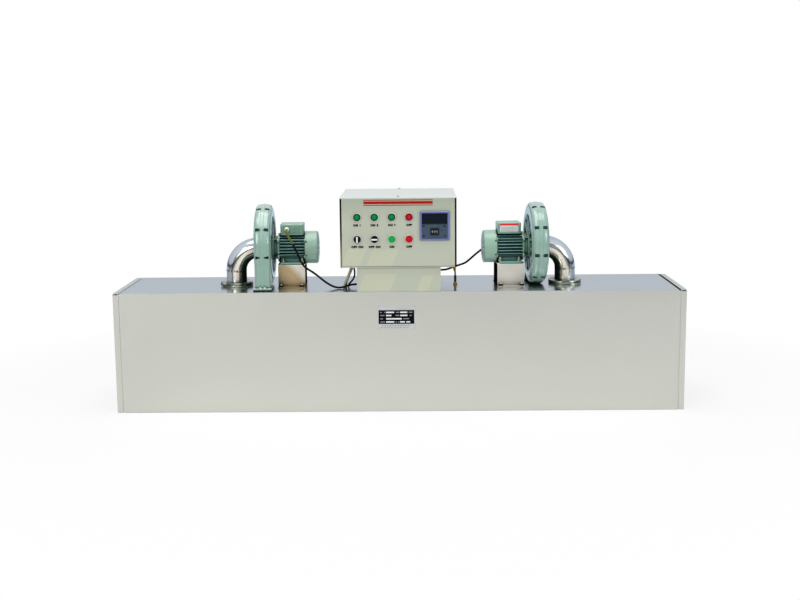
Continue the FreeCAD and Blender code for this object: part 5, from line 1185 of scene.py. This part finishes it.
BOLT_HEAD = ((0.0086, 0.0), (0.0086, 0.0010), (0.0070, 0.0013), (0.0070, 0.0052), (0.0056, 0.0064))
FOOT_TOP, SHEET_TOP = -0.122, -0.128
COWL_X, COWL_RADIUS = 0.1445, 0.0560
outward = Matrix.Rotation(-math.pi / 2, 4, "X")
for side, unit in units.items():
    feet = [unit @ move(x, y, FOOT_TOP) for x in (-0.007, 0.007) for y in (-0.1433, -0.065)]
    bolts = [unit @ move(x, y, SHEET_TOP) for x in (0.057, 0.129) for y in (-0.070, 0.070)]
    tops = [bolt @ move(0, 0, BOLT_HEAD[-1][1]) for bolt in bolts]
    turns = [Matrix.Rotation(math.radians(angle), 4, "X") for angle in (25, 155, 205, 335)]
    cowl = [unit @ move(COWL_X, 0, 0) @ turn @ move(0, COWL_RADIUS, 0) @ outward for turn in turns]
    piece_of_turnings(side + "_foot_screws", screw_paint, dome(0.0041, 0.0042), feet, 16)
    piece_of_turnings(side + "_bracket_bolts", black_bolt, BOLT_HEAD, bolts)
    piece_of_turnings(side + "_bracket_bolt_tops", bright_screw, dome(0.0044, 0.0016), tops, 16)
    piece_of_turnings(side + "_cowl_screws", bolt_paint, dome(0.0030, 0.0014), cowl, 16)
print("screw heads on both blowers")

# %% Ferrule and crimp on the probe's braid
FERRULE = ((0.0052, 0.0), (0.0052, 0.0035), (0.0040, 0.0045), (0.0040, 0.0080), (0.0034, 0.0095))
CRIMP = ((0.0034, 0.0), (0.0050, 0.0010), (0.0050, 0.0130), (0.0042, 0.0140), (0.0042, 0.0190),
         (0.0034, 0.0200))
crimp_top, crimp_foot = Vector((0.1895, -0.0403, 0.478)), Vector((0.1920, -0.0406, 0.455))
lean = (crimp_foot - crimp_top).to_track_quat("Z", "Y").to_matrix().to_4x4()
shape = bmesh.new()
add_turned(shape, FERRULE, move(*PROBE_ROUTE[0]) @ Matrix.Rotation(math.pi, 4, "X"))
add_turned(shape, CRIMP, move(*crimp_top) @ lean)
piece_from(shape, "probe_ferrule", turned_brass)
print("ferrule fitted")

# %% Brass nut on the tank, and a dark sleeve where the braid joins the stem
SLEEVE = ((0.0036, 0.0096), (0.0043, 0.0106), (0.0043, 0.0300), (0.0034, 0.0330))
foot = move(*PROBE_ROUTE[-1][:2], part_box("tank_top_panel")[1].z)
shape = bmesh.new()
add_turned(shape, ((0.0025, -0.0600), (0.0025, 0.0010)), foot)
add_turned(shape, ((0.0070, 0.0), (0.0070, 0.0050), (0.0058, 0.0060)), foot, 6)
add_turned(shape, ((0.0046, 0.0056), (0.0046, 0.0094), (0.0034, 0.0102), (0.0034, 0.0260)), foot)
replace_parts(piece_from(shape, "probe_fitting_turned", turned_brass), "probe_fitting")
piece_of_turnings("probe_sleeve", brown_sleeve, SLEEVE, [foot])
print("probe fitting and sleeve turned")

# %% [markdown]
# ## Size and finish
# The dressed tunnel has to stay as large as the measured one, so its size is printed at the end.

# %% Print the size and end
low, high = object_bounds()
print("dressed size in metres:", [round(v, 3) for v in high - low])
